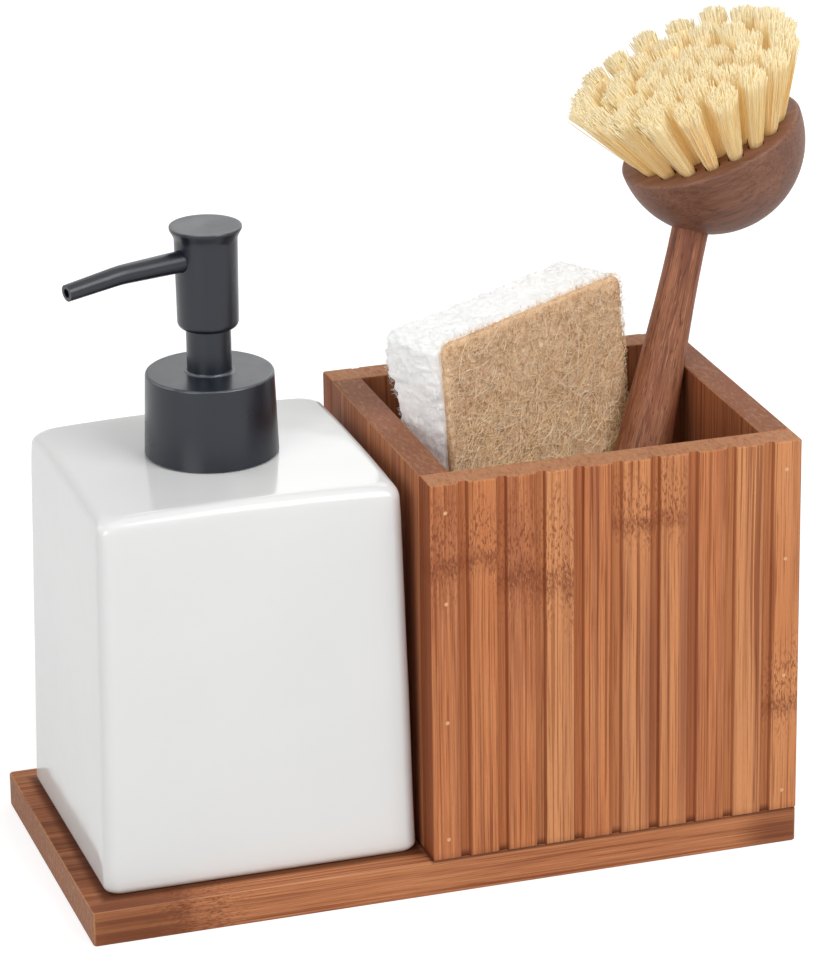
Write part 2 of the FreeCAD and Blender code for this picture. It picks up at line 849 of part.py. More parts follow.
def make_dip_tube():
    inner = d.tube_radius - d.tube_wall
    foot = tray_top + d.bottle_floor + d.tube_floor_gap
    top = ball_seat - d.spigot_wall - d.fit_clearance
    body, turn = revolved("dip_tube", rectangle(inner, d.tube_radius, foot, top))
    # the lower end is cut to a point so that the floor can't close it
    cutter = new_sketch(body, "dip_tube_bevel", "XZ_Plane")
    reach = d.tube_radius + d.overrun
    draw_outline(
        cutter,
        [
            (-reach, foot - d.overrun),
            (reach, foot - d.overrun),
            (reach, foot + d.tube_radius),
            (-reach, foot - d.tube_wall),
        ],
    )
    bevel = body.newObject("PartDesign::Pocket", "dip_tube_bevelled")
    bevel.Profile = cutter
    bevel.Midplane = True
    bind(bevel, "Length", reach * 2)
    body.Tip = bevel
    doc.recompute()
    check_removed(turn, bevel)
    place(body, bottle_x)
    return body


def make_ball():
    """It rests on the edge of the seat, held off it by the fit clearance, under the pocket's lip."""
    ball = doc.addObject("Part::Sphere", "inlet_ball")
    ball.Label = "inlet_ball"
    bind(ball, "Radius", d.ball_radius)
    place(ball, bottle_x, NOTHING, ball_seat + ball_rest)
    doc.recompute()
    return ball


def make_spring():
    """The return spring: one unbroken coil from the chamber's floor to the stem's foot."""
    wire = d.spring_wire_radius.value
    low = chamber_base.value + wire + d.fit_clearance.value
    high = stem_base.value - wire - d.fit_clearance.value
    pitch = (high - low) / SPRING_COILS
    helix = make_helix(d.spring_mean_radius.value, pitch, SPRING_COILS, low)
    coil = sweep_round(helix, wire)
    print("the spring's least gap between turns is %.2f mm" % (pitch - 2 * wire))
    return make_solid_feature("return_spring", coil, bottle_x)


def make_piston():
    bore = d.stem_radius + d.fit_clearance
    seal = chamber_radius - d.fit_clearance
    waist = seal - d.piston_lip
    lip = d.piston_height * PISTON_LIP_SHARE
    body, turn = revolved(
        "piston",
        [
            (bore, piston_base),
            (seal, piston_base),
            (seal, piston_base + lip),
            (waist, piston_base + lip),
            (waist, piston_top - lip),
            (seal, piston_top - lip),
            (seal, piston_top),
            (bore, piston_top),
        ],
    )
    place(body, bottle_x)
    return body


def make_stem():
    body, turn = revolved(
        "stem",
        [
            (d.stem_bore_radius, stem_base),
            (d.stem_foot_radius, stem_base),
            (d.stem_foot_radius, stem_foot_top),
            (d.stem_radius, stem_foot_top),
            (d.stem_radius, stem_top),
            (d.stem_bore_radius, stem_top),
        ],
    )
    place(body, bottle_x)
    return body


def make_head_shell():
    """The part that is pressed: a sleeve with a flared top disc and a turned-in mouth."""
    mouth = d.guide_radius + d.fit_clearance * 2
    mouth_top = head_base + d.head_mouth_height
    inner = d.head_bottom_radius - d.head_wall
    lip_foot = head_top - d.head_lip_height
    lip_low = head_top - d.head_lip_edge
    dish = d.head_lip_radius - d.head_lip_edge
    body, turn = revolved(
        "head_shell_blank",
        [
            (mouth, head_base),
            (d.head_bottom_radius, head_base),
            (d.head_top_radius, lip_foot),
            (d.head_lip_radius, lip_low),
            (d.head_lip_radius, head_top),
            (dish, head_top),
            (NOTHING, head_top - d.head_dish_depth),
            (NOTHING, core_top),
            (inner, core_top),
            (inner, mouth_top),
            (mouth, mouth_top),
        ],
    )
    rounds = fillet(
        body,
        turn,
        edges_where(turn, lambda e: is_circle_at(e, d.head_bottom_radius, head_base)),
        d.head_mouth_round,
        "Mouth",
    )
    rounds = fillet(
        body,
        rounds,
        edges_where(rounds, lambda e: is_circle_at(e, d.head_top_radius, lip_foot)),
        d.head_flare_radius,
        "Flare",
    )
    rounds = fillet(
        body,
        rounds,
        edges_where(
            rounds,
            lambda e: is_circle_at(e, d.head_lip_radius, head_top)
            or is_circle_at(e, d.head_lip_radius, lip_low),
        ),
        d.head_lip_round,
        "Lip",
    )
    place(body, bottle_x)
    hole = make_spout_socket("shell_socket", d.spout_root_radius + d.fit_clearance)
    return cut_from(body, hole, "head_shell")


def spout_spine():
    """The spout's centre line in its own upright plane: a rise, a bend and a drop."""
    rise = math.radians(SPOUT_RISE_ANGLE)
    droop = math.radians(SPOUT_DROOP_ANGLE)
    start = FreeCAD.Vector(d.spout_root_reach.value, 0, d.spout_root_reach.value * math.tan(rise))
    bend_reach = d.spout_bend_reach.value
    corner = FreeCAD.Vector(bend_reach, 0, bend_reach * math.tan(rise))
    fall = (d.spout_reach.value - bend_reach) * math.tan(droop)
    end = FreeCAD.Vector(d.spout_reach.value, 0, corner.z - fall)
    setback = d.spout_bend_radius.value * math.tan((rise + droop) / 2)
    before = corner - (corner - start).normalize() * setback
    after = corner + (end - corner).normalize() * setback
    upright = FreeCAD.Vector(-math.sin(rise), 0, math.cos(rise))
    centre = before - upright * d.spout_bend_radius.value
    outward = (corner - centre).normalize()
    crest = centre + outward * d.spout_bend_radius.value
    return start, before, crest, after, end


def spout_tube(root_radius, tip_radius, over):
    """A round bar along the spout's line that narrows towards the tip."""
    start, before, crest, after, end = spout_spine()
    tip_direction = (end - after).normalize()
    end = end + tip_direction * over
    edges = [
        Part.LineSegment(start, before).toShape(),
        Part.Arc(before, crest, after).toShape(),
        Part.LineSegment(after, end).toShape(),
    ]
    spine = Part.Wire(edges)
    root = Part.Wire([Part.makeCircle(root_radius, start, (before - start).normalize())])
    tip = Part.Wire([Part.makeCircle(tip_radius, end, tip_direction)])
    return spine.makePipeShell([root, tip], True, False)


def make_spout():
    outside = spout_tube(d.spout_root_radius.value, d.spout_tip_radius.value, 0)
    inside = spout_tube(d.spout_bore_radius.value, d.spout_bore_radius.value, d.overrun.value)
    tube = outside.cut(inside)
    tube.rotate(ORIGIN, Z_AXIS, SPOUT_AZIMUTH)
    return make_solid_feature("spout", tube, bottle_x, NOTHING, spout_height)


def make_spout_socket(name, radius):
    """The straight hole that the spout's root fills, along the spout's first stretch."""
    tool = doc.addObject("Part::Cylinder", name)
    bind(tool, "Radius", radius)
    bind(tool, "Height", d.spout_bend_reach)
    lean = FreeCAD.Rotation(Y_AXIS, QUARTER_TURN - SPOUT_RISE_ANGLE)
    turn = FreeCAD.Rotation(Z_AXIS, SPOUT_AZIMUTH)
    tool.Placement = FreeCAD.Placement(ORIGIN, turn.multiply(lean))
    place(tool, bottle_x, NOTHING, spout_height)
    return tool


def cut_from(base, tool, label):
    cut = doc.addObject("Part::Cut", label)
    cut.Label = label
    cut.Base = base
    cut.Tool = tool
    doc.recompute()
    return cut


def make_core():
    """Fills the head: it seats the stem from below and carries the spout's root from the side."""
    socket = d.stem_radius + d.fit_clearance
    outer = d.head_bottom_radius - d.head_wall - d.fit_clearance
    top = core_top - d.fit_clearance
    body, turn = revolved(
        "core_blank",
        [
            (socket, core_base),
            (outer, core_base),
            (outer, top),
            (NOTHING, top),
            (NOTHING, stem_top + d.fit_clearance),
            (socket, stem_top + d.fit_clearance),
        ],
    )
    place(body, bottle_x)
    socket_tool = make_spout_socket("core_socket", d.spout_root_radius + d.fit_clearance)
    return cut_from(body, socket_tool, "actuator_core")


HANDLE_TURN = FreeCAD.Rotation(Z_AXIS, HANDLE_AZIMUTH).multiply(FreeCAD.Rotation(Y_AXIS, HANDLE_LEAN))
HEAD_TURN = HANDLE_TURN.multiply(FreeCAD.Rotation(Z_AXIS, HEAD_ROLL)).multiply(
    FreeCAD.Rotation(Y_AXIS, HEAD_TILT)
)


def sponge_origin():
    """The pad's lower front left corner, lifted so that no corner reaches the tray."""
    corners = [
        FreeCAD.Vector(x, y, 0)
        for x in (0, d.sponge_width.value)
        for y in (0, sponge_depth.value)
    ]
    lowest = min(SPONGE_TURN.multVec(corner).z for corner in corners)
    height = tray_top.value + d.rest_clearance.value - lowest
    x = box_left + d.side_thickness + sponge_inset
    y = -front - d.panel_thickness - sponge_setback
    return FreeCAD.Vector(x.value, y.value, height)


def handle_foot():
    """Where the handle's axis ends: the ball end just clears the tray, the waist leans on the
    right panel's rim, and the swell keeps its gap to the pad."""
    lean = math.radians(HANDLE_LEAN)
    azimuth = math.radians(HANDLE_AZIMUTH)
    lift = d.handle_end_radius.value * (1 - math.cos(lean)) + d.rest_clearance.value
    height = tray_top.value + lift
    slope = math.tan(lean) * math.cos(azimuth)
    reach = (d.handle_waist_radius.value + d.rest_clearance.value) * math.hypot(1, slope)
    inner_right = tray_length.value / 2 - d.side_thickness.value
    x = inner_right - reach - (box_top.value - height) * slope
    pad_corner = sponge_origin()
    along = (x - pad_corner.x) * SPONGE_ACROSS_SHARE
    away = d.handle_swell_radius.value + d.handle_pad_gap.value
    y = pad_corner.y + (along - away) / SPONGE_ALONG_SHARE
    return FreeCAD.Vector(x, y, height)


def handle_point(distance):
    """A point on the handle's axis, above its foot."""
    return handle_foot() + HANDLE_TURN.multVec(Z_AXIS) * distance


def bowl_centre():
    """The middle of the bowl's flat face. The handle's axis runs to it."""
    band_rise = d.bowl_band.value * math.cos(math.radians(HEAD_TILT))
    reach = d.bowl_radius.value + band_rise - d.handle_seat_depth.value
    return handle_point(d.handle_length.value + reach)


def make_handle():
    """A turned handle: a slim top, a swelling lower half, a ball end and a tenon for the head."""
    length = d.handle_length.value
    end = d.handle_end_radius.value
    tenon = d.handle_tenon_radius.value
    tenon_top = length + d.handle_tenon_length.value
    top = FreeCAD.Vector(d.handle_tip_radius.value, 0, length)
    low = FreeCAD.Vector(end, 0, end)
    side = Part.BSplineCurve()
    side.interpolate(
        [
            top,
            FreeCAD.Vector(d.handle_waist_radius.value, 0, length * HANDLE_WAIST_SHARE),
            FreeCAD.Vector(d.handle_belly_radius.value, 0, length * HANDLE_BELLY_SHARE),
            FreeCAD.Vector(d.handle_swell_radius.value, 0, length * HANDLE_SWELL_SHARE),
            low,
        ]
    )
    eighth = math.pi / 4
    bend = FreeCAD.Vector(end * math.sin(eighth), 0, end - end * math.cos(eighth))
    axis_top = FreeCAD.Vector(0, 0, tenon_top)
    tenon_corner = FreeCAD.Vector(tenon, 0, tenon_top)
    tenon_foot = FreeCAD.Vector(tenon, 0, length)
    outline = [
        side,
        Part.Arc(low, bend, ORIGIN),
        Part.LineSegment(ORIGIN, axis_top),
        Part.LineSegment(axis_top, tenon_corner),
        Part.LineSegment(tenon_corner, tenon_foot),
        Part.LineSegment(tenon_foot, top),
    ]
    wire = Part.Wire([curve.toShape() for curve in outline])
    feature = doc.addObject("Part::Feature", "brush_handle")
    feature.Label = "brush_handle"
    feature.Shape = Part.Face(wire).revolve(ORIGIN, Z_AXIS, FULL_TURN)
    feature.Placement = FreeCAD.Placement(handle_foot(), HANDLE_TURN)
    return feature


def tuft_places():
    """Root place and lean of every tuft, in the bowl's frame: one in the middle, then rings."""
    places = [(0.0, 0.0)]
    for ring in range(1, TUFT_RINGS + 1):
        radius = ring * d.tuft_pitch.value
        count = ring * TUFTS_PER_RING_STEP
        for k in range(count):
            angle = 2 * math.pi * (k + (ring % 2) / 2) / count
            places.append((radius * math.cos(angle), radius * math.sin(angle)))
    return places


def tuft_placement(x, y):
    """Each tuft leans away from the middle, the more the further out it stands."""
    reach = d.tuft_length.value
    axis = FreeCAD.Vector(x * TUFT_FAN_SHARE, y * TUFT_FAN_SHARE, reach)
    turn = FreeCAD.Rotation(Z_AXIS, axis)
    root = FreeCAD.Vector(x, y, 0) - axis.normalize() * d.tuft_hole_depth.value
    return FreeCAD.Placement(bowl_centre(), HEAD_TURN).multiply(FreeCAD.Placement(root, turn))


def make_tufts():
    tufts = []
    for number, (x, y) in enumerate(tuft_places(), start=1):
        tuft = doc.addObject("Part::Cone", "tuft_%d" % number)
        bind(tuft, "Radius1", d.tuft_root_radius)
        bind(tuft, "Radius2", d.tuft_tip_radius)
        bind(tuft, "Height", d.tuft_length + d.tuft_hole_depth)
        tuft.Placement = tuft_placement(x, y)
        tufts.append(tuft)
    group = doc.addObject("Part::Compound", "bristle_tufts")
    group.Label = "bristle_tufts"
    group.Links = tufts
    doc.recompute()
    return group


def make_bowl():
    """The brush's head: half a ball with a flat face, drilled for the tufts and the handle."""
    body = new_body("bowl_blank")
    half_ball = body.newObject("PartDesign::AdditiveSphere", "half_ball")
    bind(half_ball, "Radius", d.bowl_radius)
    half_ball.Angle1 = -QUARTER_TURN
    half_ball.Angle2 = 0
    half_ball.Angle3 = FULL_TURN
    bind(half_ball, "Placement.Base.z", -d.bowl_band)
    body.Tip = half_ball
    doc.recompute()
    band = new_sketch(body, "bowl_band_profile", "XZ_Plane")
    draw_outline(band, rectangle(NOTHING, d.bowl_radius, -d.bowl_band, NOTHING))
    ring = body.newObject("PartDesign::Revolution", "bowl_band")
    ring.Profile = band
    ring.ReferenceAxis = (band, ["V_Axis"])
    ring.Angle = FULL_TURN
    body.Tip = ring
    doc.recompute()
    face_edge = edges_where(ring, lambda e: is_circle_at(e, d.bowl_radius, NOTHING))
    fillet(body, ring, face_edge, d.bowl_edge_radius, "Rim")
    body.Placement = FreeCAD.Placement(bowl_centre(), HEAD_TURN)
    holes = []
    for number, (x, y) in enumerate(tuft_places(), start=1):
        hole = doc.addObject("Part::Cylinder", "tuft_hole_%d" % number)
        bind(hole, "Radius", d.tuft_hole_radius)
        bind(hole, "Height", d.tuft_hole_depth + d.overrun)
        hole.Placement = tuft_placement(x, y)
        holes.append(hole)
    socket = doc.addObject("Part::Cylinder", "handle_socket")
    bind(socket, "Radius", d.handle_tenon_radius + d.fit_clearance)
    bind(socket, "Height", d.handle_tenon_length + d.fit_clearance)
    shoulder = d.handle_length.value
    socket.Placement = FreeCAD.Placement(handle_point(shoulder), HANDLE_TURN)
    mouth = doc.addObject("Part::Cylinder", "handle_mouth")
    bind(mouth, "Radius", d.handle_tip_radius + d.fit_clearance)
    bind(mouth, "Height", d.handle_seat_depth + d.overrun)
    mouth_start = shoulder - d.handle_seat_depth.value - d.overrun.value
    mouth.Placement = FreeCAD.Placement(handle_point(mouth_start), HANDLE_TURN)
    tools = doc.addObject("Part::Compound", "bowl_holes")
    tools.Links = holes + [socket, mouth]
    doc.recompute()
    return cut_from(body, tools, "brush_head")


def make_sponge_layer(label, near, far, edge_radius):
    body = new_body(label)
    sketch = new_sketch(body, label + "_outline")
    draw_outline(sketch, rectangle(NOTHING, d.sponge_width, near, far))
    block = pad(body, sketch, d.sponge_length)
    fillet(body, block, edges_where(block, is_upright), edge_radius, "Sides")
    body.Placement = FreeCAD.Placement(sponge_origin(), SPONGE_TURN)
    return body


def make_box(brads):
    inner_left = box_left + d.side_thickness
    right = tray_length / 2
    return [
        make_ribbed_panel("box_front_panel", -1, brads),
        make_ribbed_panel("box_rear_panel", 1, brads),
        make_side_panel("box_left_panel", box_left, inner_left, brads),
        make_side_panel("box_right_panel", right - d.side_thickness, right, brads),
    ]


def make_pump():
    makers = (
        make_neck_sleeve,
        make_closure,
        make_collar,
        make_gasket,
        make_housing,
        make_retaining_ring,
        make_dip_tube,
        make_ball,
        make_spring,
        make_piston,
        make_stem,
        make_core,
        make_head_shell,
        make_spout,
    )
    return [make() for make in makers]


def make_sponge():
    return [
        make_sponge_layer("scouring_pad", NOTHING, d.pad_thickness, d.pad_edge_radius),
        make_sponge_layer("sponge_body", d.pad_thickness, sponge_depth, d.sponge_edge_radius),
    ]


def check_document():
    """Stops the build where any object failed to compute."""
    for obj in doc.Objects:
        if "Invalid" in obj.State or "Error" in obj.State:
            raise ValueError("%s failed to compute: %s" % (obj.Name, obj.State))


def export(parts):
    os.makedirs("parts", exist_ok=True)
    for part in parts:
        shape = part.Shape
        if shape.isNull() or not shape.isValid():
            raise ValueError("%s has no valid shape" % part.Label)
    for part in parts:
        part.Shape.exportStep("parts/%s.step" % part.Label)
        print("%s: %d solids, %.0f mm3" % (part.Label, len(part.Shape.Solids), part.Shape.Volume))


panel_brads = make_brads()
pieces = [make_tray(), panel_brads]
pieces += make_box(panel_brads)
pieces += [make_bottle()]
pieces += make_pump()
pieces += [make_handle(), make_bowl(), make_tufts()]
pieces += make_sponge()
doc.recompute()
check_document()
export(pieces)
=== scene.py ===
import math
import random

import bmesh
import bpy
from mathutils import Matrix, Vector, noise


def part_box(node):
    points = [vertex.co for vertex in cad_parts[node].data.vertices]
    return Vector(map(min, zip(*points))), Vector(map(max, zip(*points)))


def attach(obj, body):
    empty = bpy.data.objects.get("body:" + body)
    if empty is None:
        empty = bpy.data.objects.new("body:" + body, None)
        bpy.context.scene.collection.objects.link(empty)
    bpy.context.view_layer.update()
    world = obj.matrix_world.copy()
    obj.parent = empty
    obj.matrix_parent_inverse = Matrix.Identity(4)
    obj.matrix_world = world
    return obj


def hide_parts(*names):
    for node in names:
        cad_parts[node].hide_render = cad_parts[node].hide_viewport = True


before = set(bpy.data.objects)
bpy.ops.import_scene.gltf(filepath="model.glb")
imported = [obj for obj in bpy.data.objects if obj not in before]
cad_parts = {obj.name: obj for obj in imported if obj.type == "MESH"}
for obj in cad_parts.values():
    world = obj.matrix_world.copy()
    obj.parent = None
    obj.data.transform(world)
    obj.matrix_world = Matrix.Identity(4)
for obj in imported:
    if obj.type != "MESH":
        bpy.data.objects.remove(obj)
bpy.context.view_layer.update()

# A bamboo tray with a ceramic soap bottle and its pump, beside a ribbed caddy with a dish brush and
# a sponge. Lengths are metres, in the frame's own axes: +X to the caddy, -Y the front, +Z up.

MM = 0.001
UP = Vector((0, 0, 1))
WHITE = (1, 1, 1, 1)

# Places read from the frame

TRAY_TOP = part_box("tray")[1].z
FRONT_LOW, FRONT_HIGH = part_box("box_front_panel")
REAR_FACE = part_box("box_rear_panel")[1].y
BOTTLE_LOW, BOTTLE_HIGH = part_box("bottle")


class Wire:
    """One output of a node. Sums, products and the like of wires are made with more nodes."""

    def __init__(self, nodes, socket):
        self.nodes = nodes
        self.socket = socket

    def __add__(self, other):
        return self.nodes.math("ADD", self, other)

    def __sub__(self, other):
        return self.nodes.math("SUBTRACT", self, other)

    def __rsub__(self, other):
        return self.nodes.math("SUBTRACT", other, self)

    def __mul__(self, other):
        return self.nodes.math("MULTIPLY", self, other)

    def __truediv__(self, other):
        return self.nodes.math("DIVIDE", self, other)

    def __abs__(self):
        return self.nodes.math("ABSOLUTE", self)


class Nodes:
    """A node tree and the few node forms that everything here is made of."""

    def __init__(self, tree):
        self.tree = tree
        tree.nodes.clear()

    def make(self, kind, settings=None, inputs=None):
        made = self.tree.nodes.new("ShaderNode" + kind)
        for name, value in (settings or {}).items():
            setattr(made, name, value)
        for name, value in (inputs or {}).items():
            if isinstance(value, Wire):
                self.tree.links.new(value.socket, made.inputs[name])
            else:
                made.inputs[name].default_value = value
        return made

    def wire(self, kind, settings, inputs, output=0):
        return Wire(self, self.make(kind, settings, inputs).outputs[output])

    def math(self, operation, first, second=0):
        return self.wire("Math", {"operation": operation}, {0: first, 1: second})

    def most(self, first, second):
        return self.math("MAXIMUM", first, second)

    def mix(self, share, ground, over):
        over = over if isinstance(over, Wire) else (*over, 1)
        return self.wire("Mix", {"data_type": "RGBA"}, {0: share, 6: ground, 7: over}, 2)

    def fit(self, value, low, high, to_low=0, to_high=1, smooth=True):
        """Maps low..high to to_low..to_high, held at both ends."""
        return self.wire(
            "MapRange",
            {"interpolation_type": "SMOOTHSTEP" if smooth else "LINEAR", "clamp": True},
            {"Value": value, "From Min": low, "From Max": high, "To Min": to_low, "To Max": to_high},
        )

    def ramp(self, value, stops):
        made = self.make("ValToRGB", None, {"Fac": value})
        band = made.color_ramp
        while len(band.elements) < len(stops):
            band.elements.new(1)
        for element, (place, colour) in zip(band.elements, stops):
            element.position = place
            element.color = (*colour, 1)
        return Wire(self, made.outputs["Color"])

    def point(self, x, y, z):
        return self.wire("CombineXYZ", None, {"X": x, "Y": y, "Z": z})

    def split(self, vector):
        made = self.make("SeparateXYZ", None, {"Vector": vector})
        return [Wire(self, output) for output in made.outputs]

    def noise(self, place, scale, detail, rough=0.55, distortion=0):
        """Noise at a place, which is a vector or three numbers."""
        vector = self.point(*place) if isinstance(place, tuple) else place
        inputs = {"Scale": scale, "Detail": detail, "Roughness": rough, "Distortion": distortion}
        return self.wire("TexNoise", None, {"Vector": vector, **inputs}, "Fac")

    def chance(self, *numbers):
        """One random number for each whole-numbered point."""
        return self.wire("TexWhiteNoise", None, {"Vector": self.point(*numbers)}, "Value")

    def seen(self):
        """1 for what the camera sees, straight, mirrored or through a clear part, and else 0."""
        rays = self.make("LightPath").outputs
        camera, glossy, through = [
            Wire(self, rays[f"Is {kind} Ray"]) for kind in ("Camera", "Glossy", "Transmission")
        ]
        return self.most(self.most(camera, glossy), through)


class Shader(Nodes):
    """A material's nodes."""

    def __init__(self, name):
        self.material = bpy.data.materials.new(name)
        self.material.use_nodes = True
        super().__init__(self.material.node_tree)
        self.output = self.make("OutputMaterial")
        coordinates = self.make("TexCoord").outputs
        self.place = Wire(self, coordinates["Object"])
        self.normal = Wire(self, coordinates["Normal"])

    def own_axes(self, origin, turn):
        """The place along axes of a piece's own."""
        inputs = {"Vector": self.place, "Location": origin, "Rotation": turn.to_euler()}
        return self.split(self.wire("Mapping", {"vector_type": "TEXTURE"}, inputs))

    def field(self, *settings):
        return self.noise(self.place, *settings)

    def ground(self, value, stops):
        self.colour = self.ramp(value, stops)

    def lay(self, share, over):
        """Lays a colour, plain or from a node, over what is there by its share."""
        self.colour = self.mix(share, self.colour, over)

    def finish(self, roughness, height, distance, strength, more=None):
        """The surface itself, with height as its relief."""
        relief = {"Height": height, "Distance": distance, "Strength": strength}
        inputs = {
            "Base Color": self.colour,
            "Roughness": roughness,
            "Normal": self.wire("Bump", None, relief),
            **(more or {}),
        }
        return self.close(self.make("BsdfPrincipled", None, inputs))

    def close(self, surface):
        self.tree.links.new(surface.outputs[0], self.output.inputs["Surface"])
        return self.material


def srgb(red, green, blue):
    """A colour as it is seen, 0 to 255, as the linear colour that a shader takes."""
    linear = []
    for part in (red, green, blue):
        share = part / 255
        linear.append(share / 12.92 if share <= 0.04045 else ((share + 0.055) / 1.055) ** 2.4)
    return tuple(linear)


def tones(*rows):
    """A ramp's stops, each a place and a colour as it is seen."""
    return [(place, srgb(*colour)) for place, *colour in rows]


# Bamboo

PALE = srgb(221, 153, 104)
MID = srgb(211, 139, 91)
RED = srgb(205, 129, 83)
DEEP = srgb(188, 116, 77)
SHADE = srgb(158, 98, 71)
LINE = srgb(122, 60, 33)
KNUCKLE = srgb(124, 68, 47)
INSIDE_SHADE = srgb(92, 44, 26)
END_PALE = srgb(204, 152, 112)
END_DOT = srgb(108, 62, 42)
CHANNEL_SHADE = srgb(148, 80, 46)
FOOT_SHADE = srgb(74, 36, 22)
END_WARM = srgb(190, 134, 96)
END_GREY = srgb(146, 96, 71)
END_TRAY = srgb(156, 108, 80)
TRAY_SMUDGE = srgb(118, 68, 46)

# Noise that is stretched along the grain: its share along it, scale, detail and roughness
GRAIN_WIDE = (0.012, 330, 2, 0.5)
GRAIN_LINES = (0.006, 980, 1, 0.5)
GRAIN_THREADS = (0.012, 2300, 2, 0.65)
GRAIN_DASHES = (0.26, 2100, 2, 0.6)
GRAIN_MOTTLE = (0.5, 1250, 3, 0.65)
FIBRE_WANDER = 0.9 * MM
KNUCKLE_SWIRL = 2.2 * MM
KNUCKLE_RIM = 0.98
SMUDGE_RIM = 0.3
CHANNEL_EDGE = (0.03 * MM, 0.12 * MM)
CHANNEL_SINK = (0.1 * MM, 0.8 * MM)
FOOT_SHADE_RISE = 3 * MM
CONTACT_SHADOW = 0.74


def soft_patches(look, across, along, patches, rim):
    """Soft-edged patches of a face: each a centre, a half width, a height and a half height."""
    total = 0
    waver = look.noise((across, 0, 0), 170, 2)
    for centre, half_width, height, reach in patches:
        inside = look.fit(abs(across - centre), half_width * rim, half_width, 1, 0)
        shift = (waver - 0.5) * (reach * 1.8)
        band = look.fit(abs(along - height - shift), reach * 0.15, reach, 1, 0)
        total = look.most(total, inside * band)
    return total


def contact_shadow_lines(look, feet):
    """Painted contact shadow: dark lines round what stands on the tray. A foot is its outline's lowest
    and highest corner, how far inside the outline its line begins and how far outside it ends."""
    x, y, _ = look.split(look.place)
    total = 0
    for low, high, within, beyond in feet:
        middle = (low + high) / 2
        half = (high - low) / 2
        off = look.most(abs(x - middle.x) - half.x, abs(y - middle.y) - half.y)
        line = look.fit(off, 0, beyond, 1, 0) * look.fit(off, -within, -0.4 * within)
        total = look.most(total, line)
    return total


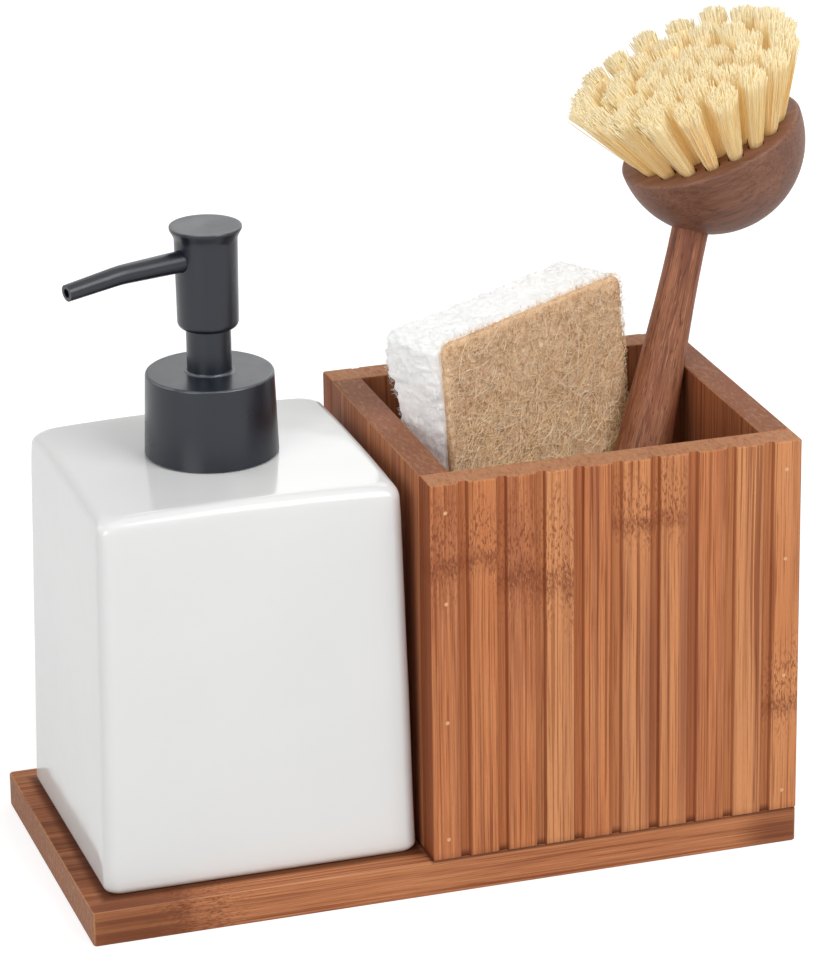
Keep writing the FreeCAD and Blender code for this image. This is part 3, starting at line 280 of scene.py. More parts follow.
def bamboo(
    name, grain, strip, offset, seed, knuckles, smudges=(), channel=None,
    end=END_WARM, inside=None, dull=0, feet=(), smudge=SHADE,
):
    """Pressed bamboo strips. grain is the axis that the fibres follow, 0, 1 or 2; strip is a
    strip's width, across the widest face, counted from offset. channel and inside are a face's
    level or axis, with the sign of its direction."""
    look = Shader(name)
    fit, lay = look.fit, look.lay
    sides = look.split(look.place)
    normal = look.split(look.normal)
    along = sides[grain]
    across, deep = [sides[axis] for axis in range(3) if axis != grain]
    row = (across - offset) / strip
    index = look.math("FLOOR", row)
    tone = look.chance(index, seed, 0)
    second = fit(look.chance(index, seed, 7), 0, 1, 0.6, 1, False)
    # the fibres wander a little, and are short and crossed where the culm had a joint
    drift = look.noise((across, index, along), 14, 1)
    halo_patches = [(c, w, h + r * 1.2, r * 4.2) for c, w, h, r in knuckles]
    halo = soft_patches(look, across, along, halo_patches, KNUCKLE_RIM)
    core = soft_patches(look, across, along, knuckles, KNUCKLE_RIM)
    swirl = look.noise((across, deep, along * 0.5), 420, 2)
    bent = across + drift * FIBRE_WANDER + (swirl - 0.5) * KNUCKLE_SWIRL * core

    def drawn(share, *settings):
        return look.noise((bent, deep, along * share), *settings)

    wide = drawn(*GRAIN_WIDE)
    lines = drawn(*GRAIN_LINES)
    threads = drawn(*GRAIN_THREADS)
    blotch = look.noise((across, deep, along * 0.22), 60, 2)
    stops = [(0.3, DEEP), (0.42, RED), (0.56, MID), (0.76, PALE)]
    look.ground(tone * 0.46 + blotch * 0.56, stops)
    lay(dull, SHADE)
    lay(fit(wide, 0.46, 0.66, 0, 0.6) * second, SHADE)
    lay(fit(threads, 0.48, 0.36, 0, 0.5), PALE)
    # the long lines are weaker by a knuckle, and the short ticks stronger
    long_share = 1 - halo * 0.5
    line = fit(lines, 0.57, 0.65, 0, 0.75) * second * long_share
    lay(line, LINE)
    thread = fit(threads, 0.54, 0.66, 0, 0.55) * long_share
    lay(thread, LINE)
    tick = fit(drawn(*GRAIN_DASHES), 0.5, 0.62, 0, 0.75) * (halo * 0.9 + 0.08)
    lay(tick, KNUCKLE)
    stain = core * fit(drawn(*GRAIN_MOTTLE), 0.42, 0.6, 0.18, 0.66)
    lay(stain, KNUCKLE)
    if smudges:
        grey = soft_patches(look, across, along, smudges, SMUDGE_RIM)
        lay(grey * fit(wide, 0.36, 0.6, 0.4, 0.9), smudge)
    seam = abs(look.math("FRACT", row) - 0.5)
    lay(fit(seam, 0.482, 0.5, 0, 0.5), LINE)
    pale_arris_reach = 1
    if channel is not None:
        level, sign = channel
        depth = (sides[1] - level) * sign
        pale_arris_reach = 1 - fit(depth, *CHANNEL_EDGE)
        sunk = fit(depth, *CHANNEL_SINK)
        # painted shade: the channel floors are darker by their depth
        lay(sunk * 0.42, CHANNEL_SHADE)
        # painted shade: the channels are darker at their feet, where they meet the tray
        foot = fit(along, TRAY_TOP, TRAY_TOP + FOOT_SHADE_RISE, 0.85, 0)
        foot = foot * fit(sunk, 0.1, 0.7, 0.25, 1)
        lay(foot, FOOT_SHADE)
        # painted shade: the channel walls that face left, away from the key lamp, are darkened, each
        # groove's by its own share
        wall = fit(normal[0] * -1, 0.2, 0.6, 0, 0.7) * fit(sunk, 0.02, 0.3)
        groove = fit(look.chance(index, seed, 13), 0, 1, 0.45, 1, False)
        lay(wall * groove, LINE)
    if inside is not None:
        # painted shade: the caddy's inside faces are darker, as shade falls inside it
        axis, sign = inside
        inside_shade = fit(normal[axis] * sign, 0.5, 0.8, 0, 0.45)
        lay(inside_shade, INSIDE_SHADE)
    if feet:
        # painted contact shadow round what stands on the tray
        contact_shadow = contact_shadow_lines(look, feet) * CONTACT_SHADOW * fit(normal[2], 0.1, 0.5)
        lay(contact_shadow, FOOT_SHADE)
        pale_arris_reach = 1 - contact_shadow
    # end grain: the cut fibre bundles are dark dots on a duller ground
    cut = fit(abs(normal[grain]), 0.55, 0.8)
    dots = look.wire("TexVoronoi", None, {"Vector": look.place, "Scale": 1650})
    sawn = look.noise((across, deep * 0.35, along), 900, 4)
    end_stops = [(0.26, SHADE), (0.5, end), (0.94, END_PALE)]
    end_colour = look.ramp(sawn * 0.8 + blotch * 0.2, end_stops)
    end_colour = look.mix(fit(dots, 0.1, 0.3, 0.75, 0), end_colour, END_DOT)
    lay(cut, end_colour)
    # the rounded arrises are paler, unevenly: partly wear, partly a painted highlight
    facing = look.most(look.most(abs(normal[0]), abs(normal[1])), abs(normal[2]))
    wear_and_painted_light = fit(facing, 0.8, 0.97, 0.55, 0) * fit(blotch, 0.35, 0.6, 0.3, 1)
    lay(wear_and_painted_light * pale_arris_reach, END_PALE)
    height = threads * 0.45 - line * 0.9 - tick * 0.5 + dots * cut * 0.7
    rough = fit(lines, 0.3, 0.7, 0.5, 0.68, False)
    return look.finish(rough, height, 0.14 * MM, 0.6, {"Specular IOR Level": 0.12})


# Finishes of the pump and the bottle

ARRIS_HIGHLIGHT = srgb(98, 104, 110)
BARE_CLAY = srgb(226, 220, 208)


def moulded(name, colour, roughness, grain=0.03 * MM, speckle=2600, tint=0.12, wear_and_painted_light=0):
    """Plastic, rubber or painted metal: a fine moulded or sprayed skin. The last argument is how
    strongly the upper arrises are made smoother and painted paler, a painted highlight."""
    look = Shader(name)
    skin = look.field(speckle, 2, 0.6)
    cloud = look.field(90, 3, 0.6)
    darker = tuple(part * (1 - tint) for part in colour)
    paler = tuple(min(1, part * (1 + tint)) for part in colour)
    look.ground(cloud, [(0.3, darker), (0.7, paler)])
    rough = look.fit(cloud, 0.3, 0.7, roughness - 0.04, roughness + 0.05, False)
    if wear_and_painted_light:
        # painted highlight: the upper arrises are laid paler, and made smoother
        rise = look.split(look.normal)[2]
        patchy = look.fit(look.field(260, 3, 0.6), 0.35, 0.6, 0.35, 1)
        arris_highlight = look.fit(rise, 0.28, 0.5) * look.fit(rise, 0.975, 0.88) * patchy * wear_and_painted_light
        look.lay(arris_highlight, ARRIS_HIGHLIGHT)
        rough = rough - arris_highlight * 0.12
    return look.finish(rough, skin, grain, 0.35)


def metal(name, colour, roughness):
    """Drawn stainless wire and polished balls."""
    look = Shader(name)
    x, y, z = look.split(look.place)
    drawn = look.noise((x, y, z * 9), 900, 2)
    look.ground(drawn, [(0.3, tuple(part * 0.85 for part in colour)), (0.7, colour)])
    rough = look.fit(drawn, 0.3, 0.7, roughness, roughness + 0.12, False)
    return look.finish(rough, drawn, 0.01 * MM, 0.3, {"Metallic": 1})


def glaze():
    """White glaze over a slip-cast body: smooth, a little uneven, dull on the bare foot."""
    look = Shader("white_glaze_finish")
    pool = look.field(14, 2, 0.5)
    flow = look.field(70, 2, 0.5)
    grit = look.field(1400, 2, 0.6)
    look.ground(pool, tones((0.3, 231, 232, 231), (0.7, 236, 236, 235)))
    height = look.split(look.place)[2]
    bare = look.fit(height, TRAY_TOP + 0.5 * MM, TRAY_TOP + 0.9 * MM, 1, 0)
    look.lay(bare, BARE_CLAY)
    rough = look.fit(flow, 0.3, 0.7, 0.09, 0.14, False) + bare * 0.5
    return look.finish(rough, flow * 0.9 + grit * 0.02, 0.35 * MM, 0.25)


def pale_filler():
    """The filler over the brads' sunk heads."""
    look = Shader("filler_finish")
    grain = look.field(2400, 3, 0.6)
    look.ground(grain, tones((0.3, 214, 158, 110), (0.7, 232, 184, 138)))
    return look.finish(0.7, grain, 0.08 * MM, 0.5)


# Finishes of the brush and the sponge


def turned_wood(name, turn, stops, pore, streaks, roughness, pitting):
    """Oiled hardwood. turn brings the piece's own axes upright, and the fibres follow its X axis.
    streaks is the number of growth streaks to a metre across the grain."""
    look = Shader(name)
    x, y, z = look.own_axes(BOWL_CENTRE, turn)

    def drawn(share, *settings):
        return look.noise((x * share, y, z), *settings)

    figure = drawn(0.08, streaks, 3, 0.6, 0.5)
    cloud = drawn(0.35, streaks * 0.22, 2, 0.5)
    streak = drawn(0.03, 950, 2, 0.6)
    hair = drawn(0.025, 2600, 2, 0.65)
    look.ground(figure * 0.65 + cloud * 0.4, stops)
    look.lay(look.fit(streak, 0.5, 0.68) * 0.5, pore)
    look.lay(look.fit(hair, 0.46, 0.32, 0, 0.55), stops[-1][1])
    look.lay(look.fit(hair, 0.54, 0.68, 0, 0.42), pore)
    pores = look.fit(drawn(0.12, 1700, 1, 0.5), 0.63, 0.69, 0, pitting)
    look.lay(pores, pore)
    rough = look.fit(figure, 0.3, 0.7, roughness, roughness + 0.12, False)
    more = {"Specular IOR Level": 0.3}
    return look.finish(rough, hair * 0.5 - pores, 0.1 * MM, 0.6, more)


def fibre(name, stops, roughness, fuzz, through, tips=None):
    """Single plant fibres: each strand has its own tone, flecked along its length. through is a painted
    glow, a warm emission that stands in for light the fibres let through from behind. tips is a foot,
    a direction, a length and the colour that the strands fade to over that length, painted shade that
    darkens them towards their roots."""
    look = Shader(name)
    own = look.wire("NewGeometry", None, None, "Random Per Island")
    fleck = look.field(1500, 2, 0.6)
    look.ground(own * 0.75 + fleck * 0.25, stops)
    if tips is not None:
        foot, direction, length, tip_colour = tips
        kind = "VectorMath"
        away = look.wire(kind, {"operation": "SUBTRACT"}, {0: look.place, 1: foot})
        risen = look.wire(kind, {"operation": "DOT_PRODUCT"}, {0: away, 1: direction}, "Value")
        # painted shade: the strands are darker and warmer towards their roots, paler at the tips
        look.lay(look.fit(risen, length * 0.45, length, 0, 0.75), tip_colour)
    more = {
        "Specular IOR Level": 0.2,
        "Sheen Weight": fuzz,
        "Sheen Roughness": 0.5,
        "Sheen Tint": (*stops[-1][1], 1),
        # painted glow: the fibres emit warm light, standing in for light let through them
        "Emission Color": (*srgb(255, 212, 142), 1),
        "Emission Strength": through,
    }
    return look.finish(roughness, fleck, 0.02 * MM, 0.3, more)


def cellulose(name):
    """White sponge: soft wadding with faint threads."""
    look = Shader(name)
    x, y, z = look.split(look.place)
    cloud = look.field(160, 3, 0.6)
    threads = look.noise((x, y, z * 0.3), 1100, 4, 0.65, 0.6)
    stops = tones((0.34, 245, 246, 247), (0.52, 254, 254, 253))
    look.ground(cloud * 0.5 + threads * 0.5, stops)
    fuzz = look.field(2300, 3, 0.7)
    more = {
        "Specular IOR Level": 0.2,
        "Sheen Weight": 0.35,
        "Sheen Roughness": 0.6,
        # painted glow: the sponge emits a little white light, standing in for light scattered through it
        "Emission Color": WHITE,
        "Emission Strength": 0.1,
    }
    return look.finish(0.92, fuzz * 0.9 + threads * 0.8, 0.3 * MM, 0.5, more)


COIR_TONES = tones(
    (0.38, 128, 95, 69), (0.45, 193, 153, 117), (0.52, 233, 197, 160), (0.64, 253, 232, 204)
)
COIR_LOW = srgb(206, 176, 145)
COIR_EDGE = srgb(238, 194, 146)


def felted_coir(origin):
    """The matted ground under the loose coconut fibres, smoother and paler at its left and top cut
    edges: partly their own cut, partly painted light on the lit edge faces.
    """
    look = Shader("coir_mat_finish")
    x, y, z = look.own_axes(origin, SPONGE_TURN)
    weave = look.field(700, 4, 0.7, 1.2)
    rising = look.noise((x, y, z * 0.25), 1100, 3, 0.6, 0.8)
    lying = look.noise((x * 0.25, y, z), 1100, 3, 0.6, 0.8)
    cloud = look.field(60, 3, 0.6)
    value = look.most(rising, lying) * 0.55 + weave * 0.3 + cloud * 0.15
    look.ground(value, COIR_TONES)
    waver = (weave - 0.5) * (9 * MM)
    beside = look.fit(x + waver, 1 * MM, 4 * MM, 0.5, 0)
    over = look.fit(SPONGE_HEIGHT - (z + waver), 1 * MM, 8 * MM, 0.4, 0)
    look.lay(look.fit(z, 70 * MM, 125 * MM, 0.5, 0), COIR_LOW)
    # paler, warmer left and top edges: partly their own smoother cut, partly painted light on the lit
    # edge faces
    look.lay(look.most(beside, over), COIR_EDGE)
    more = {"Specular IOR Level": 0.2, "Sheen Weight": 0.2, "Sheen Roughness": 0.5}
    return look.finish(0.9, value, 0.35 * MM, 0.6, more)


# Mesh helpers


def link(made):
    bpy.context.scene.collection.objects.link(made)
    return made


def new_piece(name, skin, material, smooth=True):
    mesh = bpy.data.meshes.new(name)
    mesh.from_pydata(skin.vertices, [], skin.faces)
    mesh.validate()
    mesh.update()
    piece = link(bpy.data.objects.new(name, mesh))
    mesh.materials.append(material)
    if smooth:
        mesh.polygons.foreach_set("use_smooth", [True] * len(mesh.polygons))
    return piece


class Skin:
    """The vertices and faces of closed tubes that make one piece."""

    def __init__(self):
        self.vertices = []
        self.faces = []

    def add(self, rings):
        """A tube through rings of equal length, with a flat cap at both ends."""
        start = len(self.vertices)
        count = len(rings[0])
        for ring in rings:
            self.vertices += ring
        for row in range(len(rings) - 1):
            base = start + row * count
            for step in range(count):
                after = (step + 1) % count
                self.faces.append((base + step, base + after, base + count + after, base + count + step))
        end = start + (len(rings) - 1) * count
        self.faces.append(tuple(start + step for step in reversed(range(count))))
        self.faces.append(tuple(end + step for step in range(count)))


def spoke(across, over, angle):
    return across * math.cos(angle) + over * math.sin(angle)


def held(value, low=0, high=1):
    return min(high, max(low, value))


def waves(point, *parts):
    """Noise at a point, summed over parts of a frequency and an amount."""
    return sum(noise.noise(point * frequency) * amount for frequency, amount in parts)


# The bottle

BOTTLE_MIDDLE = Vector(((BOTTLE_LOW.x + BOTTLE_HIGH.x) / 2, (BOTTLE_LOW.y + BOTTLE_HIGH.y) / 2, 0))
BOTTLE_HALF = Vector(((BOTTLE_HIGH.x - BOTTLE_LOW.x) / 2, (BOTTLE_HIGH.y - BOTTLE_LOW.y) / 2))
BOTTLE_BASE = BOTTLE_LOW.z
NECK_HEIGHT = 10 * MM
BOTTLE_TOP = BOTTLE_HIGH.z - NECK_HEIGHT
BOTTLE_DRAW = 2.5 * MM
BOTTLE_CORNER = 4 * MM
SHOULDER_RADIUS = 4 * MM
SHOULDER_CORNER = 2 * MM
SHOULDER_RUN = 3 * MM
FOOT_RADIUS = 3 * MM
CROWN_RADIUS = 845 * MM
NECK_RADIUS = 14 * MM
NECK_BORE = 11 * MM
NECK_LIP = 0.6 * MM
BOTTLE_WALL = 5 * MM
SHOULDER_WALL = 7 * MM
FLOOR_WALL = 6 * MM
FOOT_RIM = 6 * MM
FOOT_RECESS = 1 * MM
CAP_RADIUS = 1 * MM
CAST_WAVE = 0.18 * MM
WAVE_FREQUENCY = 26
WAVE_FADE = 8 * MM
CORNER_STEPS = 12
OUTLINE_STEPS = 14
FOOT_STEPS = 8
SIDE_STEPS = 26
SHOULDER_STEPS = 14
TOP_STEPS = 12
CORNER_SIGNS = ((1, 1), (-1, 1), (-1, -1), (1, -1))
QUARTER = math.pi / 2


def rounded_outline(half_x, half_y, radius):
    """Offsets round a rounded rectangle, the same count for every size."""
    radius = min(radius, half_x * 0.999, half_y * 0.999)

    def on_corner(signs, angle):
        centre = Vector((signs[0] * (half_x - radius), signs[1] * (half_y - radius)))
        return centre + radius * Vector((math.cos(angle), math.sin(angle)))

    points = []
    for quarter, signs in enumerate(CORNER_SIGNS):
        start = quarter * QUARTER
        for step in range(CORNER_STEPS + 1):
            points.append(on_corner(signs, start + QUARTER * step / CORNER_STEPS))
        last = points[-1]
        target = on_corner(CORNER_SIGNS[(quarter + 1) % 4], start + QUARTER)
        for step in range(1, OUTLINE_STEPS):
            points.append(last.lerp(target, step / OUTLINE_STEPS))
    return points


def level(points, height, scale=1):
    return [Vector((p.x * scale, p.y * scale, height)) for p in points]


def crowned(points, drop=0):
    """A ring on the crowned top, or a drop below it."""
    return [
        Vector((p.x, p.y, BOTTLE_TOP - (p.x * p.x + p.y * p.y) / (2 * CROWN_RADIUS) - drop))
        for p in points
    ]


def body_ring(height, inset, corner=BOTTLE_CORNER):
    """A level ring of the drawn-in body, at a height and an inset from its side."""
    draw = BOTTLE_DRAW * (height - BOTTLE_BASE) / (BOTTLE_TOP - BOTTLE_BASE)
    outline = rounded_outline(BOTTLE_HALF.x - draw - inset, BOTTLE_HALF.y - draw - inset, corner)
    return level(outline, height)


def to_circle(ring, radius, share):
    """A ring part of the way from its own outline to a circle at the same angles."""
    return [p.xy.lerp(p.xy.normalized() * radius, share) for p in ring]


def make_bottle():
    """Slip-cast bottle: foot, drawn sides, rounded shoulder, crowned top, neck and inner walls."""
    # it begins and ends with a small flat cap, in the foot's recess and on the inner floor
    recess = body_ring(BOTTLE_BASE, FOOT_RIM)
    rings = []
    for share in (0.95, 0.8, 0.6, 0.4, 0.2, 0):
        rings.append(level(to_circle(recess, CAP_RADIUS, share), BOTTLE_BASE + FOOT_RECESS))
    rings.append(level(recess, BOTTLE_BASE + FOOT_RECESS * 0.4, 1.012))
    rings.append(level(recess, BOTTLE_BASE, 1.02))
    for step in range(FOOT_STEPS + 1):
        angle = QUARTER * step / FOOT_STEPS
        height = BOTTLE_BASE + FOOT_RADIUS * (1 - math.cos(angle))
        rings.append(body_ring(height, FOOT_RADIUS * (1 - math.sin(angle))))
    side_low = BOTTLE_BASE + FOOT_RADIUS
    side_high = BOTTLE_TOP - SHOULDER_RADIUS - SHOULDER_RUN
    for step in range(1, SIDE_STEPS):
        rings.append(body_ring(side_low + (side_high - side_low) * step / SIDE_STEPS, 0))
    for step in range(SHOULDER_STEPS + 1):
        angle = QUARTER * step / SHOULDER_STEPS
        corner = BOTTLE_CORNER + SHOULDER_CORNER * step / SHOULDER_STEPS
        ring = body_ring(BOTTLE_TOP, SHOULDER_RADIUS * (1 - math.cos(angle)), corner)
        rings.append(crowned(ring, SHOULDER_RADIUS * (1 - math.sin(angle))))
    top = body_ring(BOTTLE_TOP, SHOULDER_RADIUS, BOTTLE_CORNER + SHOULDER_CORNER)
    for step in range(1, TOP_STEPS + 1):
        rings.append(crowned(to_circle(top, NECK_RADIUS, step / TOP_STEPS)))
    neck = to_circle(top, NECK_RADIUS, 1)
    bore = [p * (NECK_BORE / NECK_RADIUS) for p in neck]
    neck_top = BOTTLE_TOP + NECK_HEIGHT
    ceiling = BOTTLE_TOP - SHOULDER_WALL
    rings.append(level(neck, neck_top - NECK_LIP))
    rings.append(level([p * (1 - NECK_LIP / NECK_RADIUS) for p in neck], neck_top))
    rings.append(level([p * (1 + NECK_LIP / NECK_BORE) for p in bore], neck_top))
    rings.append(level(bore, neck_top - NECK_LIP))
    rings.append(level(bore, ceiling))
    for share in (0.66, 0.33, 0):
        rings.append(level(to_circle(body_ring(ceiling, BOTTLE_WALL), NECK_BORE, share), ceiling))
    inner_floor = BOTTLE_BASE + FLOOR_WALL
    floor_ring = body_ring(inner_floor, BOTTLE_WALL)
    for share in (0, 0.5, 0.9):
        rings.append(level(to_circle(floor_ring, CAP_RADIUS, share), inner_floor))
    skin = Skin()
    skin.add(rings)
    for number, point in enumerate(skin.vertices):
        # the cast sides wave a little, and the foot and the top less
        side = held((point.z - BOTTLE_BASE) / WAVE_FADE)
        side *= held((BOTTLE_TOP + 2 * MM - point.z) / WAVE_FADE)
        outward = Vector((point.x, point.y, 0))
        wave = CAST_WAVE * side * (noise.noise(point * WAVE_FREQUENCY) - 0.5)
        if outward.length > NECK_RADIUS:
            point = point + outward.normalized() * wave
        skin.vertices[number] = point + BOTTLE_MIDDLE
    piece = new_piece("bottle_glazed", skin, glaze())
    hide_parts("bottle")
    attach(piece, "bottle")


# The brush: its frame comes from the bowl's and the handle's places

HANDLE_DIRECTION = Vector((0.3047, 0.2288, 0.9245)).normalized()
BOWL_CENTRE = Vector((0.11486, 0.03624, 0.19719))
BOWL_NORMAL = Vector((-0.365, 0.006, 0.931)).normalized()
TUFT_LENGTH = 27 * MM
TUFT_ROOT_RADIUS = 1.66 * MM
TUFT_TIP_RADIUS = 4.15 * MM
TUFT_SWELL = 0.35 * MM
TUFT_SWELL_RISE = 2.5 * MM
TUFT_SUNK = 1.5 * MM
BRISTLE_RADIUS = 0.165 * MM
BRISTLES_PER_TUFT = 185
BRISTLE_STEPS = 7
STRAY_CHANCE = 0.07
CORE_SHARE = 0.8
CORE_SHORTER = 3.6 * MM
CORE_STEPS = 6
CORE_SIDES = 18
STRAND_SIDES = 3
MERGE = 0.001 * MM
GOLDEN_SHARE = 3 - math.sqrt(5)


def tuft_roots():
    """Root and tip of every tuft, read back from the drilled head's tufts."""
    mesh = bmesh.new()
    mesh.from_mesh(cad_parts["bristle_tufts"].data)
    bmesh.ops.remove_doubles(mesh, verts=mesh.verts, dist=MERGE)
    found = []
    seen = set()
    for first in mesh.verts:
        if first in seen:
            continue
        island = []
        queue = [first]
        seen.add(first)
        while queue:
            current = queue.pop()
            island.append(current.co.copy())
            for edge in current.link_edges:
                other = edge.other_vert(current)
                if other not in seen:
                    seen.add(other)
                    queue.append(other)
        island.sort(key=lambda point: (point - BOWL_CENTRE).dot(BOWL_NORMAL))
        half = len(island) // 2
        low = sum(island[:half], Vector()) / half
        high = sum(island[half:], Vector()) / (len(island) - half)
        found.append((low, high))
    mesh.free()
    return sorted(found, key=lambda pair: (round(pair[0].x, 5), round(pair[0].y, 5)))


def strand(points, radius, taper):
    """The rings of one fibre, a thin tube along its points."""
    rings = []
    last = len(points) - 1
    for row, point in enumerate(points):
        along = (points[min(last, row + 1)] - points[max(0, row - 1)]).normalized()
        across = along.orthogonal().normalized()
        over = along.cross(across)
        wide = radius * (1 + (taper - 1) * row / last)
        angles = [2 * math.pi * side / STRAND_SIDES for side in range(STRAND_SIDES)]
        rings.append([point + spoke(across, over, angle) * wide for angle in angles])
    return rings


def tuft_width(part, length, splay):
    """A tuft's radius at a share of its length: tight in its hole, swelling above it, splayed."""
    swell = TUFT_SWELL * held(part * length / TUFT_SWELL_RISE)
    return TUFT_ROOT_RADIUS * (1 - part) + TUFT_TIP_RADIUS * splay * part + swell * (1 - part)


def tuft_core(root, direction, across, over, length, splay, vary):
    """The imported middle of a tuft, a fluted cone that keeps light from passing through."""
    rings = []
    phase = vary(0, 2 * math.pi)
    for row in range(CORE_STEPS + 1):
        part = row / CORE_STEPS
        lift = (length - CORE_SHORTER) * part - TUFT_SUNK * (1 - part)
        wide = tuft_width(part, length, splay) * CORE_SHARE
        ring = []
        for side in range(CORE_SIDES):
            angle = 2 * math.pi * side / CORE_SIDES
            flute = wide * (1 + 0.06 * math.sin(5 * angle + phase) + vary(-0.03, 0.03))
            ragged = vary(-0.6, 0.5) * MM * part**4
            ring.append(root + direction * (lift + ragged) + spoke(across, over, angle) * flute)
        rings.append(ring)
    return rings


def make_bristles():
    """Trimmed plant fibres in their drilled holes, splayed from root to tip."""
    draws = random.Random(11)
    vary = draws.uniform
    halves = {"bristles_left": Skin(), "bristles_right": Skin()}
    for low, high in tuft_roots():
        skin = halves["bristles_left" if low.x < BOWL_CENTRE.x else "bristles_right"]
        direction = (high - low).normalized()
        # where the tuft's axis leaves the bowl's flat face
        root = low + direction * ((BOWL_CENTRE - low).dot(BOWL_NORMAL) / direction.dot(BOWL_NORMAL))
        across = direction.orthogonal().normalized()
        over = direction.cross(across)
        length = TUFT_LENGTH * vary(0.97, 1.03) / direction.dot(BOWL_NORMAL)
        splay = vary(0.92, 1.1)
        skin.add(tuft_core(root, direction, across, over, length, splay, vary))
        for number in range(BRISTLES_PER_TUFT):
            # most strands stand at the tuft's outside, where they are seen
            share = ((number + 0.5) / BRISTLES_PER_TUFT) ** 0.46
            angle = number * math.pi * GOLDEN_SHARE + vary(-0.3, 0.3)
            outward = spoke(across, over, angle)
            stray = draws.random() < STRAY_CHANCE
            tip_share = splay * vary(0.86, 1.06) * (1.27 if stray else 1)
            # the outer strands bend away and end lower, so a tuft's top is rounded
            own_length = length * (vary(0.95, 1.02) - 0.05 * share**4)
            bow = vary(-0.25, 0.35) * MM
            twist = vary(-0.8, 0.8) * MM
            phase = vary(0, 2 * math.pi)
            fray = vary(-0.3, 0.9) * MM
            aside = direction.cross(outward)
            points = []
            for step in range(BRISTLE_STEPS + 1):
                part = step / BRISTLE_STEPS
                spread = share * tuft_width(part, length, tip_share)
                lift = own_length * part - TUFT_SUNK * (1 - part)
                sway = math.sin(part * math.pi) * bow + fray * part**6
                curl = math.sin(part * 3.4 + phase) * 0.2 * MM * part
                point = root + direction * lift + outward * (spread + sway)
                points.append(point + aside * (twist * part * part + curl))
            skin.add(strand(points, BRISTLE_RADIUS * vary(0.75, 1.2), 1.1))
    stops = tones(
        (0.05, 252, 208, 142), (0.3, 254, 228, 170), (0.6, 255, 237, 188), (0.95, 255, 246, 212)
    )
    # the strands fade paler to their tips, painted shade lower in the tufts
    tips = (BOWL_CENTRE, BOWL_NORMAL, TUFT_LENGTH, srgb(255, 246, 214))
    # the last but one number is the bristles' painted glow
    finish = fibre("plant_fibre_finish", stops, 0.6, 0.3, 0.12, tips)
    for name, skin in halves.items():
        piece = new_piece(name, skin, finish)
        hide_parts("bristle_tufts")
        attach(piece, "brush")


# The sponge: its frame comes from its own solids

SPONGE_YAW = math.radians(27.2)
SPONGE_LEAN = math.radians(1.7)
SPONGE_TILT = math.radians(2.9)
SPONGE_WIDTH = 76 * MM
SPONGE_HEIGHT = 145 * MM
SPONGE_DEPTH = 19.4 * MM
SPONGE_BACK_INSET = 0.35 * MM
SPONGE_ROUNDING = 1.8 * MM
SPONGE_VOXEL = 0.62 * MM
SPONGE_PORES = 340
PAD_DEPTH = 3 * MM
PAD_INSET = 0.45 * MM
PAD_ROUNDING = 1.1 * MM
PAD_VOXEL = 0.6 * MM
GLUED_SHARE = 0.2
CORNER_SOFTNESS = 3.5 * MM
SHIFT_FROM = 45 * MM
SHIFT_RUN = 50 * MM
LOOSE_FROM = 120 * MM
LOOSE_RUN = 16 * MM
THREADS = 6500
THREADS_FROM = 70 * MM
SPONGE_TURN = (
    Matrix.Rotation(SPONGE_YAW, 3, "Z")
    @ Matrix.Rotation(-SPONGE_LEAN, 3, "X")
    @ Matrix.Rotation(-SPONGE_TILT, 3, "Y")
)


def sponge_corner():
    """The pad's lower front left corner, found from the pad's lowest reach along each own axis."""
    points = [v.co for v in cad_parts["scouring_pad"].data.vertices]
    low = Vector([min((SPONGE_TURN.transposed() @ p)[axis] for p in points) for axis in range(3)])
    return SPONGE_TURN @ low


def remeshed_block(name, low, high, rounding, voxel):
    """An evenly meshed rounded block between two corners, in the sponge's own axes."""
    mesh = bmesh.new()
    bmesh.ops.create_cube(mesh, size=1)
    middle = (low + high) / 2
    size = high - low
    for vertex in mesh.verts:
        vertex.co = Vector([vertex.co[axis] * size[axis] + middle[axis] for axis in range(3)])
    edges = mesh.edges[:]
    bmesh.ops.bevel(mesh, geom=edges, offset=rounding, segments=4, affect="EDGES", profile=0.5)
    data = bpy.data.meshes.new(name)
    mesh.to_mesh(data)
    mesh.free()
    piece = link(bpy.data.objects.new(name, data))
    modifier = piece.modifiers.new("even", "REMESH")
    modifier.mode = "VOXEL"
    modifier.voxel_size = voxel
    modifier.use_smooth_shade = True
    bpy.context.view_layer.update()
    evaluated = piece.evaluated_get(bpy.context.evaluated_depsgraph_get())
    fine = bpy.data.meshes.new_from_object(evaluated)
    piece.modifiers.clear()
    piece.data = fine
    bpy.data.meshes.remove(data)
    return piece


def pore_depth(point):
    """Depth of a round pore at a point: 1 at its middle, 0 on the threads between pores."""
    distances = noise.voronoi(point * SPONGE_PORES)[0]
    near = distances[0]
    wall = distances[1] - near
    return max(0, 1 - near * 1.5) * min(1, wall * 4)


def eased(value):
    value = held(value)
    return value * value * (3 - 2 * value)


